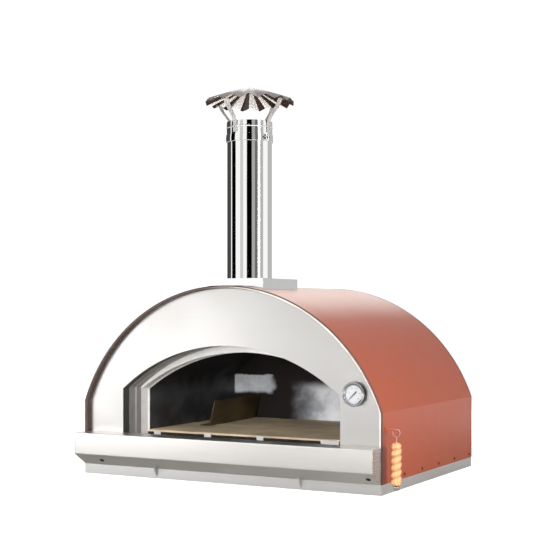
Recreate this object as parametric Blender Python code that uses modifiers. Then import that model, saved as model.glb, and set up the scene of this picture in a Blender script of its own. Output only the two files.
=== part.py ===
"""Wood-fired pizza oven: a vaulted steel oven with an arched mouth, a front ledge, a flue
with a pleated rain cap, a dial thermometer and a short tool hung at the right front corner.

Metres, +Z up. The front faces -Y and the origin is the middle of the underside. A depth is
measured backwards from the casing's front lip, and deep() turns it into a Y coordinate.
"""

import math
from collections import namedtuple

import bmesh
import bpy

# ---------------------------------------------------------------- driving dimensions
CASING_WIDTH = 1.100
CASING_DEPTH = 0.800
BASE_HEIGHT = 0.0322
UPSTAND_TOP = 0.060
SHEET = 0.002
FIT_GAP = 0.0003
ARC_STEPS = 44
TURN_STEPS = 48

LEDGE_TOP = 0.1427
LEDGE_REACH = 0.058
PANEL_DEPTH = 0.020
RECESS_GAP = 0.0005
REVEAL_BACK = 0.1765
CHAMBER_BACK = 0.764
REAR_PANEL_DEPTH = 0.792
SOLE_TOP = 0.140
SOLE_HALF_WIDTH = 0.4035
TILE_THICKNESS = 0.035

FLUE_DEPTH = 0.172
FLUE_RADIUS = 0.075
FLUE_BOX_TOP = 0.657
SPIGOT_HEIGHT = 0.040
PIPE_TOP = 1.135
COLLAR_BOTTOM = 1.109
COLLAR_TOP = 1.176
CAP_RADIUS = 0.1483
CAP_RIM_Z = 1.244
CAP_APEX_Z = 1.294

THERMOMETER_X = 0.454
THERMOMETER_Z = 0.300

TOOL_X = 0.594
TOOL_DEPTH = 0.010
TOOL_PIVOT_Z = 0.196

Arch = namedtuple("Arch", "half_width centre_z radius")

CASING_ARCH = Arch(CASING_WIDTH / 2, 0.048, 0.585)
MOUTH_ARCH = Arch(0.404, -0.178, 0.621)
INNER_MOUTH_ARCH = Arch(0.404, -0.257, 0.676)
CHAMBER_ARCH = Arch(0.405, -0.0656, 0.5456)


def deep(depth):
    """The Y coordinate at a depth behind the casing's front lip."""
    return depth - CASING_DEPTH / 2


# ---------------------------------------------------------------- scene and materials
def clear_scene():
    for obj in list(bpy.data.objects):
        bpy.data.objects.remove(obj, do_unlink=True)


def new_collection(name, hidden):
    collection = bpy.data.collections.new(name)
    collection.hide_render = hidden
    bpy.context.scene.collection.children.link(collection)
    return collection


def new_material(name, colour, metallic, roughness, alpha=1.0):
    material = bpy.data.materials.new(name)
    material.use_nodes = True
    shader = material.node_tree.nodes["Principled BSDF"]
    shader.inputs["Base Color"].default_value = (*colour, 1.0)
    shader.inputs["Metallic"].default_value = metallic
    shader.inputs["Roughness"].default_value = roughness
    shader.inputs["Alpha"].default_value = alpha
    return material


clear_scene()
PARTS = new_collection("wood_fired_pizza_oven", hidden=False)
CUTTERS = new_collection("cutters", hidden=True)

TERRACOTTA = new_material("terracotta_powder_coat", (0.42, 0.13, 0.075), 0.0, 0.42)
BRUSHED = new_material("brushed_stainless", (0.62, 0.60, 0.57), 1.0, 0.34)
POLISHED = new_material("polished_stainless", (0.78, 0.78, 0.77), 1.0, 0.08)
SOOTY = new_material("sooty_stainless", (0.10, 0.095, 0.09), 0.8, 0.55)
DARK_STEEL = new_material("blackened_steel", (0.035, 0.033, 0.030), 0.7, 0.6)
GUARD_STEEL = new_material("heat_tinted_steel", (0.19, 0.14, 0.075), 0.8, 0.5)
FIRECLAY = new_material("fireclay", (0.42, 0.36, 0.25), 0.0, 0.85)
CERAMIC_WOOL = new_material("ceramic_wool", (0.80, 0.79, 0.75), 0.0, 0.95)
INSULATING_BOARD = new_material("insulating_board", (0.70, 0.66, 0.58), 0.0, 0.95)
CHROME = new_material("chrome", (0.80, 0.80, 0.82), 1.0, 0.06)
DIAL_WHITE = new_material("dial_white", (0.88, 0.88, 0.86), 0.0, 0.45)
NEEDLE_BLACK = new_material("needle_black", (0.02, 0.02, 0.02), 0.0, 0.4)
GLASS = new_material("thermometer_glass", (0.9, 0.95, 0.95), 0.0, 0.02, alpha=0.3)
SCREW_STEEL = new_material("screw_steel", (0.16, 0.15, 0.14), 1.0, 0.35)
TURNED_WOOD = new_material("turned_wood", (0.72, 0.42, 0.19), 0.0, 0.45)


# ---------------------------------------------------------------- building blocks
def new_object(name, mesh, material, collection=PARTS):
    obj = bpy.data.objects.new(name, mesh)
    collection.objects.link(obj)
    obj.data.materials.append(material)
    return obj


def from_bmesh(name, bm, material, collection=PARTS):
    mesh = bpy.data.meshes.new(name)
    bm.to_mesh(mesh)
    bm.free()
    return new_object(name, mesh, material, collection)


def box(name, low, high, material, collection=PARTS):
    bm = bmesh.new()
    bmesh.ops.create_cube(bm, size=1.0)
    for vert in bm.verts:
        vert.co = [
            a + (b - a) * (c + 0.5) for a, b, c in zip(low, high, vert.co)
        ]
    return from_bmesh(name, bm, material, collection)


def cylinder(name, radius, length, material, steps=TURN_STEPS, collection=PARTS):
    """A solid cylinder about the object's own Z axis, centred on its origin."""
    bm = bmesh.new()
    bmesh.ops.create_cone(
        bm, cap_ends=True, segments=steps, radius1=radius, radius2=radius, depth=length
    )
    return from_bmesh(name, bm, material, collection)


def turned(name, profile, material, closed=False, steps=TURN_STEPS, smooth=True):
    """A profile of (radius, height) points turned about the object's own Z axis."""
    bm = bmesh.new()
    verts = [bm.verts.new((radius, 0.0, height)) for radius, height in profile]
    for first, second in zip(verts, verts[1:]):
        bm.edges.new((first, second))
    if closed:
        bm.edges.new((verts[-1], verts[0]))
    obj = from_bmesh(name, bm, material)
    screw = obj.modifiers.new("Turn", "SCREW")
    screw.steps = steps
    screw.render_steps = steps
    screw.use_merge_vertices = True
    screw.merge_threshold = 0.00001
    screw.use_smooth_shade = smooth
    return obj


def ring_profile(inner, outer, low, high):
    """The closed outline of a plain ring."""
    return [(outer, high), (outer, low), (inner, low), (inner, high)]


def arch_outline(arch, bottom, offset=0.0):
    """(x, z) points over an arch, from its left foot to its right foot."""
    half_width = arch.half_width + offset
    radius = arch.radius + offset
    spring = math.asin(half_width / radius)
    points = [(-half_width, bottom)]
    for step in range(ARC_STEPS + 1):
        angle = spring * (2 * step / ARC_STEPS - 1)
        points.append((radius * math.sin(angle), arch.centre_z + radius * math.cos(angle)))
    points.append((half_width, bottom))
    return points


def circle_outline(centre_x, centre_z, radius, steps=24):
    turns = [2 * math.pi * step / steps for step in range(steps)]
    return [(centre_x + radius * math.cos(t), centre_z + radius * math.sin(t)) for t in turns]


def flat_curve(name, outlines, depth, material):
    """Closed outlines filled and given a depth about the curve's own XY plane."""
    curve = bpy.data.curves.new(name, "CURVE")
    curve.dimensions = "2D"
    curve.fill_mode = "BOTH"
    curve.extrude = depth / 2
    for outline in outlines:
        spline = curve.splines.new("POLY")
        spline.points.add(len(outline) - 1)
        for point, (x, y) in zip(spline.points, outline):
            point.co = (x, y, 0.0, 1.0)
        spline.use_cyclic_u = True
    return new_object(name, curve, material)


def front_plate(name, outlines, y_front, y_back, material):
    """A plate that faces the front: outlines in (x, z), from y_front to y_back."""
    obj = flat_curve(name, outlines, y_back - y_front, material)
    obj.rotation_euler = (math.radians(90), 0.0, 0.0)
    obj.location.y = (y_front + y_back) / 2
    return obj


def side_plate(name, outline, x_left, x_right, material):
    """A plate that faces the side: an outline in (y, z), from x_left to x_right."""
    obj = flat_curve(name, [outline], x_right - x_left, material)
    obj.rotation_euler = (math.radians(90), 0.0, math.radians(90))
    obj.location.x = (x_left + x_right) / 2
    return obj


def as_mesh(obj):
    """The same object as a mesh with its caps joined, so that it can be cut."""
    bpy.context.view_layer.update()
    graph = bpy.context.evaluated_depsgraph_get()
    mesh = bpy.data.meshes.new_from_object(obj.evaluated_get(graph))
    bm = bmesh.new()
    bm.from_mesh(mesh)
    bmesh.ops.remove_doubles(bm, verts=bm.verts, dist=0.000001)
    bmesh.ops.recalc_face_normals(bm, faces=bm.faces)
    bm.to_mesh(mesh)
    bm.free()
    name = obj.name
    matrix = obj.matrix_world.copy()
    collection = obj.users_collection[0]
    bpy.data.objects.remove(obj, do_unlink=True)
    solid = bpy.data.objects.new(name, mesh)
    collection.objects.link(solid)
    solid.matrix_world = matrix
    return solid


def combine(obj, other, operation):
    """Join or cut obj with another object, which becomes a hidden cutter."""
    modifier = obj.modifiers.new(other.name, "BOOLEAN")
    modifier.operation = operation
    modifier.solver = "EXACT"
    modifier.object = other
    for collection in list(other.users_collection):
        collection.objects.unlink(other)
    CUTTERS.objects.link(other)
    other.hide_render = True
    other.display_type = "WIRE"


def arch_sheet(name, rails, material, inside=False):
    """A folded sheet run over the arch. Each rail is (arch, offset, bottom, y).

    The rails mark the visible face: the outer one, or the inner one if inside is set.
    """
    bm = bmesh.new()
    previous = None
    for arch, offset, bottom, y in rails:
        outline = arch_outline(arch, bottom, offset)
        current = [bm.verts.new((x, y, z)) for x, z in outline]
        if previous:
            for i in range(len(current) - 1):
                corners = [previous[i], previous[i + 1], current[i + 1], current[i]]
                bm.faces.new(corners[::-1] if inside else corners)
        previous = current
    obj = from_bmesh(name, bm, material)
    solidify = obj.modifiers.new("Sheet", "SOLIDIFY")
    solidify.thickness = SHEET
    solidify.offset = -1.0
    solidify.use_even_offset = True
    return obj


def cut_cylinder(obj, radius, length, location, rotation=(0.0, 0.0, 0.0), steps=16):
    """Cut a round hole through obj."""
    cutter = cylinder(obj.name + "_hole", radius, length, SCREW_STEEL, steps, CUTTERS)
    cutter.location = location
    cutter.rotation_euler = rotation
    combine(obj, cutter, "DIFFERENCE")


# ---------------------------------------------------------------- casing and base
SCREW_COUNT = 5
SCREW_FIRST_DEPTH = 0.178
SCREW_PITCH = 0.1482
SCREW_Z = 0.0455
SCREW_HOLE = 0.0024
SCREW_DEPTHS = [SCREW_FIRST_DEPTH + SCREW_PITCH * i for i in range(SCREW_COUNT)]
ACROSS = (0.0, math.radians(90), 0.0)


def pan_head(radius, proud, length):
    """The profile of a pan-head screw whose head rests at height zero."""
    shank = 0.0020
    return [
        (0.0, proud),
        (radius * 0.7, proud * 0.85),
        (radius, proud * 0.35),
        (radius, FIT_GAP),
        (shank, FIT_GAP),
        (shank, -length),
        (0.0, -length),
    ]


def base_frame():
    """A tray with an upstand inside the casing's foot, which the casing is screwed to."""
    half_x = CASING_WIDTH / 2 - 0.001
    half_y = CASING_DEPTH / 2 - 0.001
    joggle = 0.0013
    wall = 0.0033
    floor = 0.003
    tray = box("base_frame", (-half_x, -half_y, 0), (half_x, half_y, BASE_HEIGHT), BRUSHED)
    upstand = box(
        "base_upstand",
        (-half_x + joggle, -half_y + joggle, floor),
        (half_x - joggle, half_y - joggle, UPSTAND_TOP),
        BRUSHED,
    )
    hollow = box(
        "base_hollow",
        (-half_x + wall, -half_y + wall, floor),
        (half_x - wall, half_y - wall, UPSTAND_TOP + 0.02),
        BRUSHED,
    )
    combine(tray, upstand, "UNION")
    combine(tray, hollow, "DIFFERENCE")
    for depth in SCREW_DEPTHS:
        place = (0.0, deep(depth), SCREW_Z)
        cut_cylinder(tray, SCREW_HOLE, CASING_WIDTH + 0.1, place, ACROSS)


def outer_casing():
    """The painted vault, with a folded lip round its front and openings for the flue."""
    foot = BASE_HEIGHT + 0.0004
    lip = -0.008
    rails = [
        (CASING_ARCH, lip, foot, deep(0.0)),
        (CASING_ARCH, 0.0, foot, deep(0.0)),
        (CASING_ARCH, 0.0, foot, deep(CASING_DEPTH)),
    ]
    casing = arch_sheet("outer_casing", rails, TERRACOTTA)
    opening = box(
        "casing_flue_opening",
        (-DUCT_HALF_WIDTH - RECESS_GAP, deep(DUCT_FRONT - RECESS_GAP), 0.5),
        (DUCT_HALF_WIDTH + RECESS_GAP, deep(DUCT_BACK + RECESS_GAP), 0.7),
        TERRACOTTA,
    )
    combine(casing, opening, "DIFFERENCE")
    for depth in SCREW_DEPTHS:
        place = (0.0, deep(depth), SCREW_Z)
        cut_cylinder(casing, SCREW_HOLE, CASING_WIDTH + 0.1, place, ACROSS)


def casing_screws():
    """A row of pan-head screws along the foot of each side."""
    profile = pan_head(radius=0.0045, proud=0.0026, length=0.0055)
    for side, sign in (("left", -1), ("right", 1)):
        for index, depth in enumerate(SCREW_DEPTHS, start=1):
            screw = turned(f"casing_screw_{side}_{index}", profile, SCREW_STEEL, steps=12)
            screw.location = (sign * CASING_WIDTH / 2, deep(depth), SCREW_Z)
            screw.rotation_euler = (0.0, sign * math.radians(90), 0.0)


def front_panel():
    """The recessed stainless face, with the arched mouth and the thermometer's hole."""
    foot = UPSTAND_TOP + 0.001
    outline = arch_outline(CASING_ARCH, foot, -SHEET - RECESS_GAP)
    mouth = arch_outline(MOUTH_ARCH, SOLE_TOP)
    stem_hole = circle_outline(THERMOMETER_X, THERMOMETER_Z, 0.0045)
    front_plate(
        "front_panel",
        [outline, mouth, stem_hole],
        deep(PANEL_DEPTH),
        deep(PANEL_DEPTH + SHEET),
        BRUSHED,
    )


def rear_panel():
    foot = BASE_HEIGHT + 0.002
    outline = arch_outline(CASING_ARCH, foot, -0.005)
    front_plate(
        "rear_panel",
        [outline],
        deep(REAR_PANEL_DEPTH),
        deep(REAR_PANEL_DEPTH + SHEET),
        TERRACOTTA,
    )


# ---------------------------------------------------------------- front ledge
LEDGE_HALF_WIDTH = 0.5475
LEDGE_BAND_BOTTOM = 0.0704
LEDGE_BACK_BOTTOM = 0.033
LEDGE_BACK = -0.0006
LEDGE_SCREWS = (("left", -0.456), ("right", 0.520))
LEDGE_SCREW_SHARE = 0.5
LEDGE_SLOPE = math.atan2(LEDGE_BAND_BOTTOM - LEDGE_BACK_BOTTOM, LEDGE_REACH + LEDGE_BACK)


def ledge_outline(inset):
    """The ledge's side outline in (y, z), moved inwards by a wall thickness."""
    drop = inset / math.cos(LEDGE_SLOPE)
    nose = -LEDGE_REACH + inset
    back = LEDGE_BACK if inset == 0 else 0.01
    rise = math.tan(LEDGE_SLOPE)
    return [
        (deep(back), LEDGE_TOP - inset),
        (deep(nose), LEDGE_TOP - inset),
        (deep(nose), LEDGE_BAND_BOTTOM + drop - inset * rise),
        (deep(back), LEDGE_BACK_BOTTOM + drop - (back - LEDGE_BACK) * rise),
    ]


def ledge_screw_frame(x):
    """The middle of a screw's seat on the sloping underside, and its tilt about X."""
    share = LEDGE_SCREW_SHARE
    depth = -LEDGE_REACH * share + LEDGE_BACK * (1 - share)
    height = LEDGE_BAND_BOTTOM * share + LEDGE_BACK_BOTTOM * (1 - share)
    return (x, deep(depth), height), math.pi - LEDGE_SLOPE


def front_ledge():
    """A folded shelf under the mouth, closed at its ends, with a tongue to the panel."""
    ledge = as_mesh(
        side_plate(
            "front_ledge", ledge_outline(0.0), -LEDGE_HALF_WIDTH, LEDGE_HALF_WIDTH, BRUSHED
        )
    )
    inner_half = LEDGE_HALF_WIDTH - SHEET
    hollow = as_mesh(
        side_plate("ledge_hollow", ledge_outline(SHEET), -inner_half, inner_half, BRUSHED)
    )
    combine(ledge, hollow, "DIFFERENCE")
    tongue_half = 0.5410
    tongue = box(
        "ledge_tongue",
        (-tongue_half, deep(-0.004), LEDGE_TOP - SHEET),
        (tongue_half, deep(PANEL_DEPTH - FIT_GAP), LEDGE_TOP),
        BRUSHED,
    )
    combine(ledge, tongue, "UNION")
    for _, x in LEDGE_SCREWS:
        place, tilt = ledge_screw_frame(x)
        cut_cylinder(ledge, SCREW_HOLE, 0.02, place, (tilt, 0.0, 0.0))


def ledge_screws():
    profile = pan_head(radius=0.0055, proud=0.0028, length=0.010)
    for side, x in LEDGE_SCREWS:
        screw = turned(f"ledge_screw_{side}", profile, SCREW_STEEL, steps=16)
        place, tilt = ledge_screw_frame(x)
        screw.location = place
        screw.rotation_euler = (tilt, 0.0, 0.0)


def ledge_brackets():
    """Thin gussets between the base's front and the ledge's underside."""
    back = 0.0006
    reach = -0.014
    outline = [
        (deep(back), 0.006),
        (deep(back), 0.0318),
        (deep(reach), 0.0408),
        (deep(reach), 0.030),
    ]
    half_thickness = 0.0015
    for side, x in (("left", -0.255), ("right", 0.279)):
        side_plate(
            f"ledge_bracket_{side}", outline, x - half_thickness, x + half_thickness, BRUSHED
        )


# ---------------------------------------------------------------- mouth and reveal
VESTIBULE_FLOOR = 0.102
DUCT_HALF_WIDTH = 0.104
DUCT_FRONT = 0.056
DUCT_BACK = 0.122
TUNNEL_BACK = 0.1260
FRAME_FRONT = 0.1270


def mouth_tunnel():
    """The lining of the reveal: a folded arch with a smoke slot in its crown."""
    foot = VESTIBULE_FLOOR + 0.001
    fold = 0.004
    profile = [
        (0.0, PANEL_DEPTH + SHEET + RECESS_GAP),
        (0.0, 0.058),
        (fold, 0.062),
        (fold, 0.096),
        (0.0, 0.100),
        (0.0, TUNNEL_BACK),
    ]
    rails = [(MOUTH_ARCH, offset, foot, deep(depth)) for offset, depth in profile]
    tunnel = arch_sheet("mouth_tunnel", rails, BRUSHED, inside=True)
    slot = box(
        "smoke_slot",
        (-DUCT_HALF_WIDTH + SHEET, deep(DUCT_FRONT + SHEET), 0.40),
        (DUCT_HALF_WIDTH - SHEET, deep(DUCT_BACK - SHEET), 0.50),
        BRUSHED,
    )
    combine(tunnel, slot, "DIFFERENCE")


def inner_arch_frame():
    """The stepped frame between the reveal and the chamber."""
    foot = VESTIBULE_FLOOR + 0.001
    flange = 0.008
    rails = [
        (MOUTH_ARCH, flange, foot, deep(FRAME_FRONT)),
        (INNER_MOUTH_ARCH, 0.0, foot, deep(FRAME_FRONT)),
        (INNER_MOUTH_ARCH, 0.0, foot, deep(REVEAL_BACK)),
        (CHAMBER_ARCH, 0.010, foot, deep(REVEAL_BACK)),
    ]
    arch_sheet("inner_arch_frame", rails, BRUSHED, inside=True)


def smoke_duct():
    """The rectangular throat from the reveal's crown up through the casing."""
    duct_top = 0.640
    duct = box(
        "smoke_duct",
        (-DUCT_HALF_WIDTH, deep(DUCT_FRONT), 0.40),
        (DUCT_HALF_WIDTH, deep(DUCT_BACK), duct_top),
        SOOTY,
    )
    bore = box(
        "duct_bore",
        (-DUCT_HALF_WIDTH + SHEET, deep(DUCT_FRONT + SHEET), 0.38),
        (DUCT_HALF_WIDTH - SHEET, deep(DUCT_BACK - SHEET), 0.70),
        SOOTY,
    )
    combine(duct, bore, "DIFFERENCE")
    clearance = 0.008
    crown = MOUTH_ARCH.radius + clearance
    place = (0.0, deep(0.09), MOUTH_ARCH.centre_z)
    cut_cylinder(duct, crown, 0.3, place, (math.radians(90), 0.0, 0.0), steps=256)


def vestibule_floor():
    """The sunken pan between the ledge and the cooking floor."""
    box(
        "vestibule_floor",
        (-SOLE_HALF_WIDTH, deep(0.0235), VESTIBULE_FLOOR - SHEET),
        (SOLE_HALF_WIDTH, deep(0.1665), VESTIBULE_FLOOR),
        DARK_STEEL,
    )


# ---------------------------------------------------------------- chamber
def chamber():
    """The steel vault over the fire, its back wall and the wool round them."""
    foot = 0.004
    front = REVEAL_BACK + 0.001
    rails = [
        (CHAMBER_ARCH, 0.0, foot, deep(front)),
        (CHAMBER_ARCH, 0.0, foot, deep(CHAMBER_BACK)),
    ]
    arch_sheet("chamber_vault", rails, SOOTY, inside=True)
    front_plate(
        "chamber_back_wall",
        [arch_outline(CHAMBER_ARCH, foot, 0.006)],
        deep(CHAMBER_BACK + RECESS_GAP),
        deep(CHAMBER_BACK + RECESS_GAP + SHEET),
        SOOTY,
    )
    inner = arch_outline(CHAMBER_ARCH, foot, 0.003)
    outer = arch_outline(CASING_ARCH, foot, -0.007)
    front_plate(
        "vault_insulation",
        [outer + inner[::-1]],
        deep(0.180),
        deep(CHAMBER_BACK - RECESS_GAP),
        CERAMIC_WOOL,
    )
    front_plate(
        "rear_insulation",
        [arch_outline(CHAMBER_ARCH, foot, 0.030)],
        deep(CHAMBER_BACK + 0.003),
        deep(REAR_PANEL_DEPTH - 0.001),
        CERAMIC_WOOL,
    )


# ---------------------------------------------------------------- cooking floor
SOLE_FRONT = 0.168
RAIL_DEPTH = 0.165
RAIL_TOP = 0.134
CLIP_TOP = 0.1385
CLIP_DEPTH = 0.158


def sole():
    """Four fireclay tiles on an insulating board."""
    gap = 0.0004
    tile_bottom = SOLE_TOP - TILE_THICKNESS
    back = CHAMBER_BACK - 0.001
    middle = (SOLE_FRONT + back) / 2
    box(
        "sole_insulation",
        (-SOLE_HALF_WIDTH, deep(0.170), 0.004),
        (SOLE_HALF_WIDTH, deep(back), tile_bottom - FIT_GAP),
        INSULATING_BOARD,
    )
    columns = (("left", -SOLE_HALF_WIDTH, -gap), ("right", gap, SOLE_HALF_WIDTH))
    rows = (("front", SOLE_FRONT, middle - gap), ("rear", middle + gap, back))
    for row, near, far in rows:
        for column, x_left, x_right in columns:
            box(
                f"floor_tile_{row}_{column}",
                (x_left, deep(near), tile_bottom),
                (x_right, deep(far), SOLE_TOP),
                FIRECLAY,
            )


def floor_rail_and_clips():
    """The dark rail that holds the tiles' front edge, and the bright clips on it."""
    rail_half = SOLE_HALF_WIDTH - 0.0005
    box(
        "floor_rail",
        (-rail_half, deep(RAIL_DEPTH), VESTIBULE_FLOOR + FIT_GAP + 0.0002),
        (rail_half, deep(SOLE_FRONT - 0.0005), RAIL_TOP),
        DARK_STEEL,
    )
    clips = (
        ("floor_clip_1", -0.360, 0.014, 0.007),
        ("floor_clip_2", -0.157, 0.014, 0.007),
        ("floor_clip_3", 0.046, 0.014, 0.007),
        ("floor_clip_4", 0.302, 0.034, 0.028),
    )
    for name, x, top_half, bottom_half in clips:
        outline = [
            (x - top_half, CLIP_TOP),
            (x + top_half, CLIP_TOP),
            (x + bottom_half, VESTIBULE_FLOOR + 0.0005),
            (x - bottom_half, VESTIBULE_FLOOR + 0.0005),
        ]
        front_plate(name, [outline], deep(CLIP_DEPTH), deep(RAIL_DEPTH - 0.0005), BRUSHED)


def log_guard():
    """A loose folded plate that keeps the fire on the left of the floor, leaning a little."""
    foot = 0.040
    height = 0.090
    lean = 0.020
    length = 0.375
    thickness = 0.003
    outline = [
        (0.0, 0.0),
        (lean, height),
        (lean - thickness, height),
        (-thickness, thickness),
        (-foot, thickness),
        (-foot, 0.0),
    ]
    guard = front_plate("log_guard", [outline], -length / 2, length / 2, GUARD_STEEL)
    guard.location = (-0.291, deep(0.560), SOLE_TOP + 0.0005)
    guard.rotation_euler = (math.radians(90), 0.0, math.radians(4))


# ---------------------------------------------------------------- flue
STRUT_ANGLES = [-8.5, 81.5, 171.5, 261.5]


def flue_box():
    """The low box that joins the smoke duct to the pipe, and the pipe's spigot on its top."""
    half_width = 0.118
    front = 0.050
    back = 0.288
    bottom = 0.560
    hood = box(
        "flue_box",
        (-half_width, deep(front), bottom),
        (half_width, deep(back), FLUE_BOX_TOP),
        BRUSHED,
    )
    hollow = box(
        "flue_box_hollow",
        (-half_width + SHEET, deep(front + SHEET), bottom - 0.1),
        (half_width - SHEET, deep(back - SHEET), FLUE_BOX_TOP - SHEET),
        BRUSHED,
    )
    combine(hood, hollow, "DIFFERENCE")
    saddle_radius = CASING_ARCH.radius + 0.0006
    saddle_place = (0.0, deep(FLUE_DEPTH), CASING_ARCH.centre_z)
    lying = (math.radians(90), 0.0, 0.0)
    cut_cylinder(hood, saddle_radius, 0.4, saddle_place, lying, steps=256)
    spigot_radius = FLUE_RADIUS - 0.0018
    spigot_bore = spigot_radius - 0.0014
    bore_place = (0.0, deep(FLUE_DEPTH), FLUE_BOX_TOP)
    cut_cylinder(hood, spigot_bore, 0.2, bore_place, steps=TURN_STEPS)
    spigot = turned(
        "flue_spigot",
        ring_profile(
            spigot_bore, spigot_radius, FLUE_BOX_TOP + FIT_GAP, FLUE_BOX_TOP + SPIGOT_HEIGHT
        ),
        BRUSHED,
        closed=True,
    )
    spigot.location.y = deep(FLUE_DEPTH)


def flue_pipe():
    pipe = turned(
        "flue_pipe",
        ring_profile(FLUE_RADIUS - 0.0012, FLUE_RADIUS, FLUE_BOX_TOP + FIT_GAP, PIPE_TOP),
        POLISHED,
        closed=True,
        steps=64,
    )
    pipe.location.y = deep(FLUE_DEPTH)


def cap_collar():
    """The sleeve over the pipe's top, with a raised bead."""
    inner = FLUE_RADIUS + 0.0004
    outer = inner + 0.0012
    bead = 0.0012
    profile = [
        (outer, COLLAR_TOP),
        (outer, 1.1595),
        (outer + bead, 1.1570),
        (outer, 1.1545),
        (outer, COLLAR_BOTTOM),
        (inner, COLLAR_BOTTOM),
        (inner, COLLAR_TOP),
    ]
    collar = turned("cap_collar", profile, POLISHED, closed=True, steps=64)
    collar.location.y = deep(FLUE_DEPTH)


def locking_band():
    """The clamp ring round the collar, and the bolt that closes it."""
    inner = FLUE_RADIUS + 0.0019
    outer = inner + 0.0016
    low = COLLAR_BOTTOM
    high = 1.133
    bolt_angle = math.radians(-17.8)
    band = turned("locking_band", ring_profile(inner, outer, low, high), POLISHED, True, 64)
    band.location.y = deep(FLUE_DEPTH)
    reach = outer + 0.0085
    lug = box(
        "band_lug",
        (inner + 0.0008, -0.007, low + 0.003),
        (reach, 0.007, high - 0.003),
        POLISHED,
    )
    lug.location.y = deep(FLUE_DEPTH)
    lug.rotation_euler = (0.0, 0.0, bolt_angle)
    combine(band, lug, "UNION")
    middle = (inner + reach) / 2 + 0.002
    place = (
        middle * math.cos(bolt_angle),
        deep(FLUE_DEPTH) + middle * math.sin(bolt_angle),
        (low + high) / 2,
    )
    lying = (math.radians(90), 0.0, bolt_angle)
    cut_cylinder(band, 0.0024, 0.05, place, lying)
    profile = [
        (0.0, 0.0115),
        (0.0038, 0.0115),
        (0.0038, 0.0073),
        (0.0020, 0.0073),
        (0.0020, -0.0130),
        (0.0, -0.0130),
    ]
    bolt = turned("band_bolt", profile, SCREW_STEEL, steps=12, smooth=False)
    bolt.location = place
    bolt.rotation_euler = lying


def cap_struts():
    """Four bent straps that carry the rain cap above the collar."""
    half_width = 0.007
    inner = 0.0776
    strap = 0.002
    low = 1.138
    bend = 1.186
    tab_radius = 0.122
    tab_end = 0.136
    tab_top = 1.2440
    outline = [
        (inner, low),
        (inner + strap, low),
        (inner + strap, bend),
        (tab_radius + strap, tab_top - strap),
        (tab_end, tab_top - strap),
        (tab_end, tab_top),
        (tab_radius, tab_top),
        (inner, bend + 0.001),
    ]
    cleared = [(x + (0.0018 if z < 1.165 else 0.0), z) for x, z in outline]
    for index, angle in enumerate(STRUT_ANGLES, start=1):
        strut = front_plate(
            f"cap_strut_{index}", [cleared], -half_width, half_width, POLISHED
        )
        strut.location = (0.0, deep(FLUE_DEPTH), 0.0)
        strut.rotation_euler = (math.radians(90), 0.0, math.radians(angle))


def rain_cap():
    """A shallow cone of pleated sheet: a fan of ridges and valleys that grows outwards."""
    pleats = 16
    pleat_depth = 0.011
    hub_radius = 0.012
    rings = 5
    bm = bmesh.new()
    previous = None
    for ring in range(rings + 1):
        radius = hub_radius + (CAP_RADIUS - hub_radius) * ring / rings
        slope = (radius - hub_radius) / (CAP_RADIUS - hub_radius)
        current = []
        for step in range(2 * pleats):
            angle = math.pi * step / pleats
            wave = 0.5 if step % 2 else -0.5
            z = CAP_APEX_Z + (CAP_RIM_Z - CAP_APEX_Z) * slope + wave * pleat_depth * slope
            current.append(bm.verts.new((radius * math.cos(angle), radius * math.sin(angle), z)))
        if previous is None:
            bm.faces.new(current)
        else:
            for i in range(2 * pleats):
                j = (i + 1) % (2 * pleats)
                bm.faces.new((previous[i], current[i], current[j], previous[j]))
        previous = current
    cap = from_bmesh("rain_cap", bm, POLISHED)
    solidify = cap.modifiers.new("Sheet", "SOLIDIFY")
    solidify.thickness = 0.0012
    solidify.offset = -1.0
    cap.location.y = deep(FLUE_DEPTH)
    rivet = turned(
        "cap_rivet",
        [(0.0, 0.004), (0.0045, 0.0028), (0.0062, 0.0004), (0.0, 0.0004)],
        POLISHED,
        steps=20,
    )
    rivet.location = (0.0, deep(FLUE_DEPTH), CAP_APEX_Z)


# ---------------------------------------------------------------- thermometer
def facing_front(obj):
    """Put a turned piece on the thermometer's axis, with its own +Z facing the front."""
    obj.location = (THERMOMETER_X, deep(PANEL_DEPTH), THERMOMETER_Z)
    obj.rotation_euler = (math.radians(90), 0.0, 0.0)


def thermometer():
    case_radius = 0.0352
    bore = 0.0327
    depth = 0.012
    case = turned(
        "thermometer_case",
        [
            (0.0036, 0.0020),
            (bore, 0.0020),
            (bore, depth),
            (case_radius, depth),
            (case_radius, FIT_GAP),
            (0.0036, FIT_GAP),
        ],
        CHROME,
        closed=True,
    )
    bezel = turned(
        "thermometer_bezel",
        [
            (0.0317, 0.0150),
            (0.0347, 0.0158),
            (0.0371, 0.0145),
            (0.0375, 0.0123),
            (0.0317, 0.0123),
        ],
        CHROME,
        closed=True,
    )
    dial = turned(
        "thermometer_dial",
        [(0.0, 0.0052), (0.0322, 0.0052), (0.0322, 0.0044), (0.0, 0.0044)],
        DIAL_WHITE,
    )
    glass = turned(
        "thermometer_glass",
        [(0.0, 0.0116), (0.0324, 0.0116), (0.0324, 0.0100), (0.0, 0.0100)],
        GLASS,
    )
    stem = turned(
        "thermometer_stem",
        [(0.0, 0.0038), (0.0030, 0.0038), (0.0030, -0.0850), (0.0, -0.0870)],
        BRUSHED,
        steps=16,
    )
    for piece in (case, bezel, dial, glass, stem):
        facing_front(piece)


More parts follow.
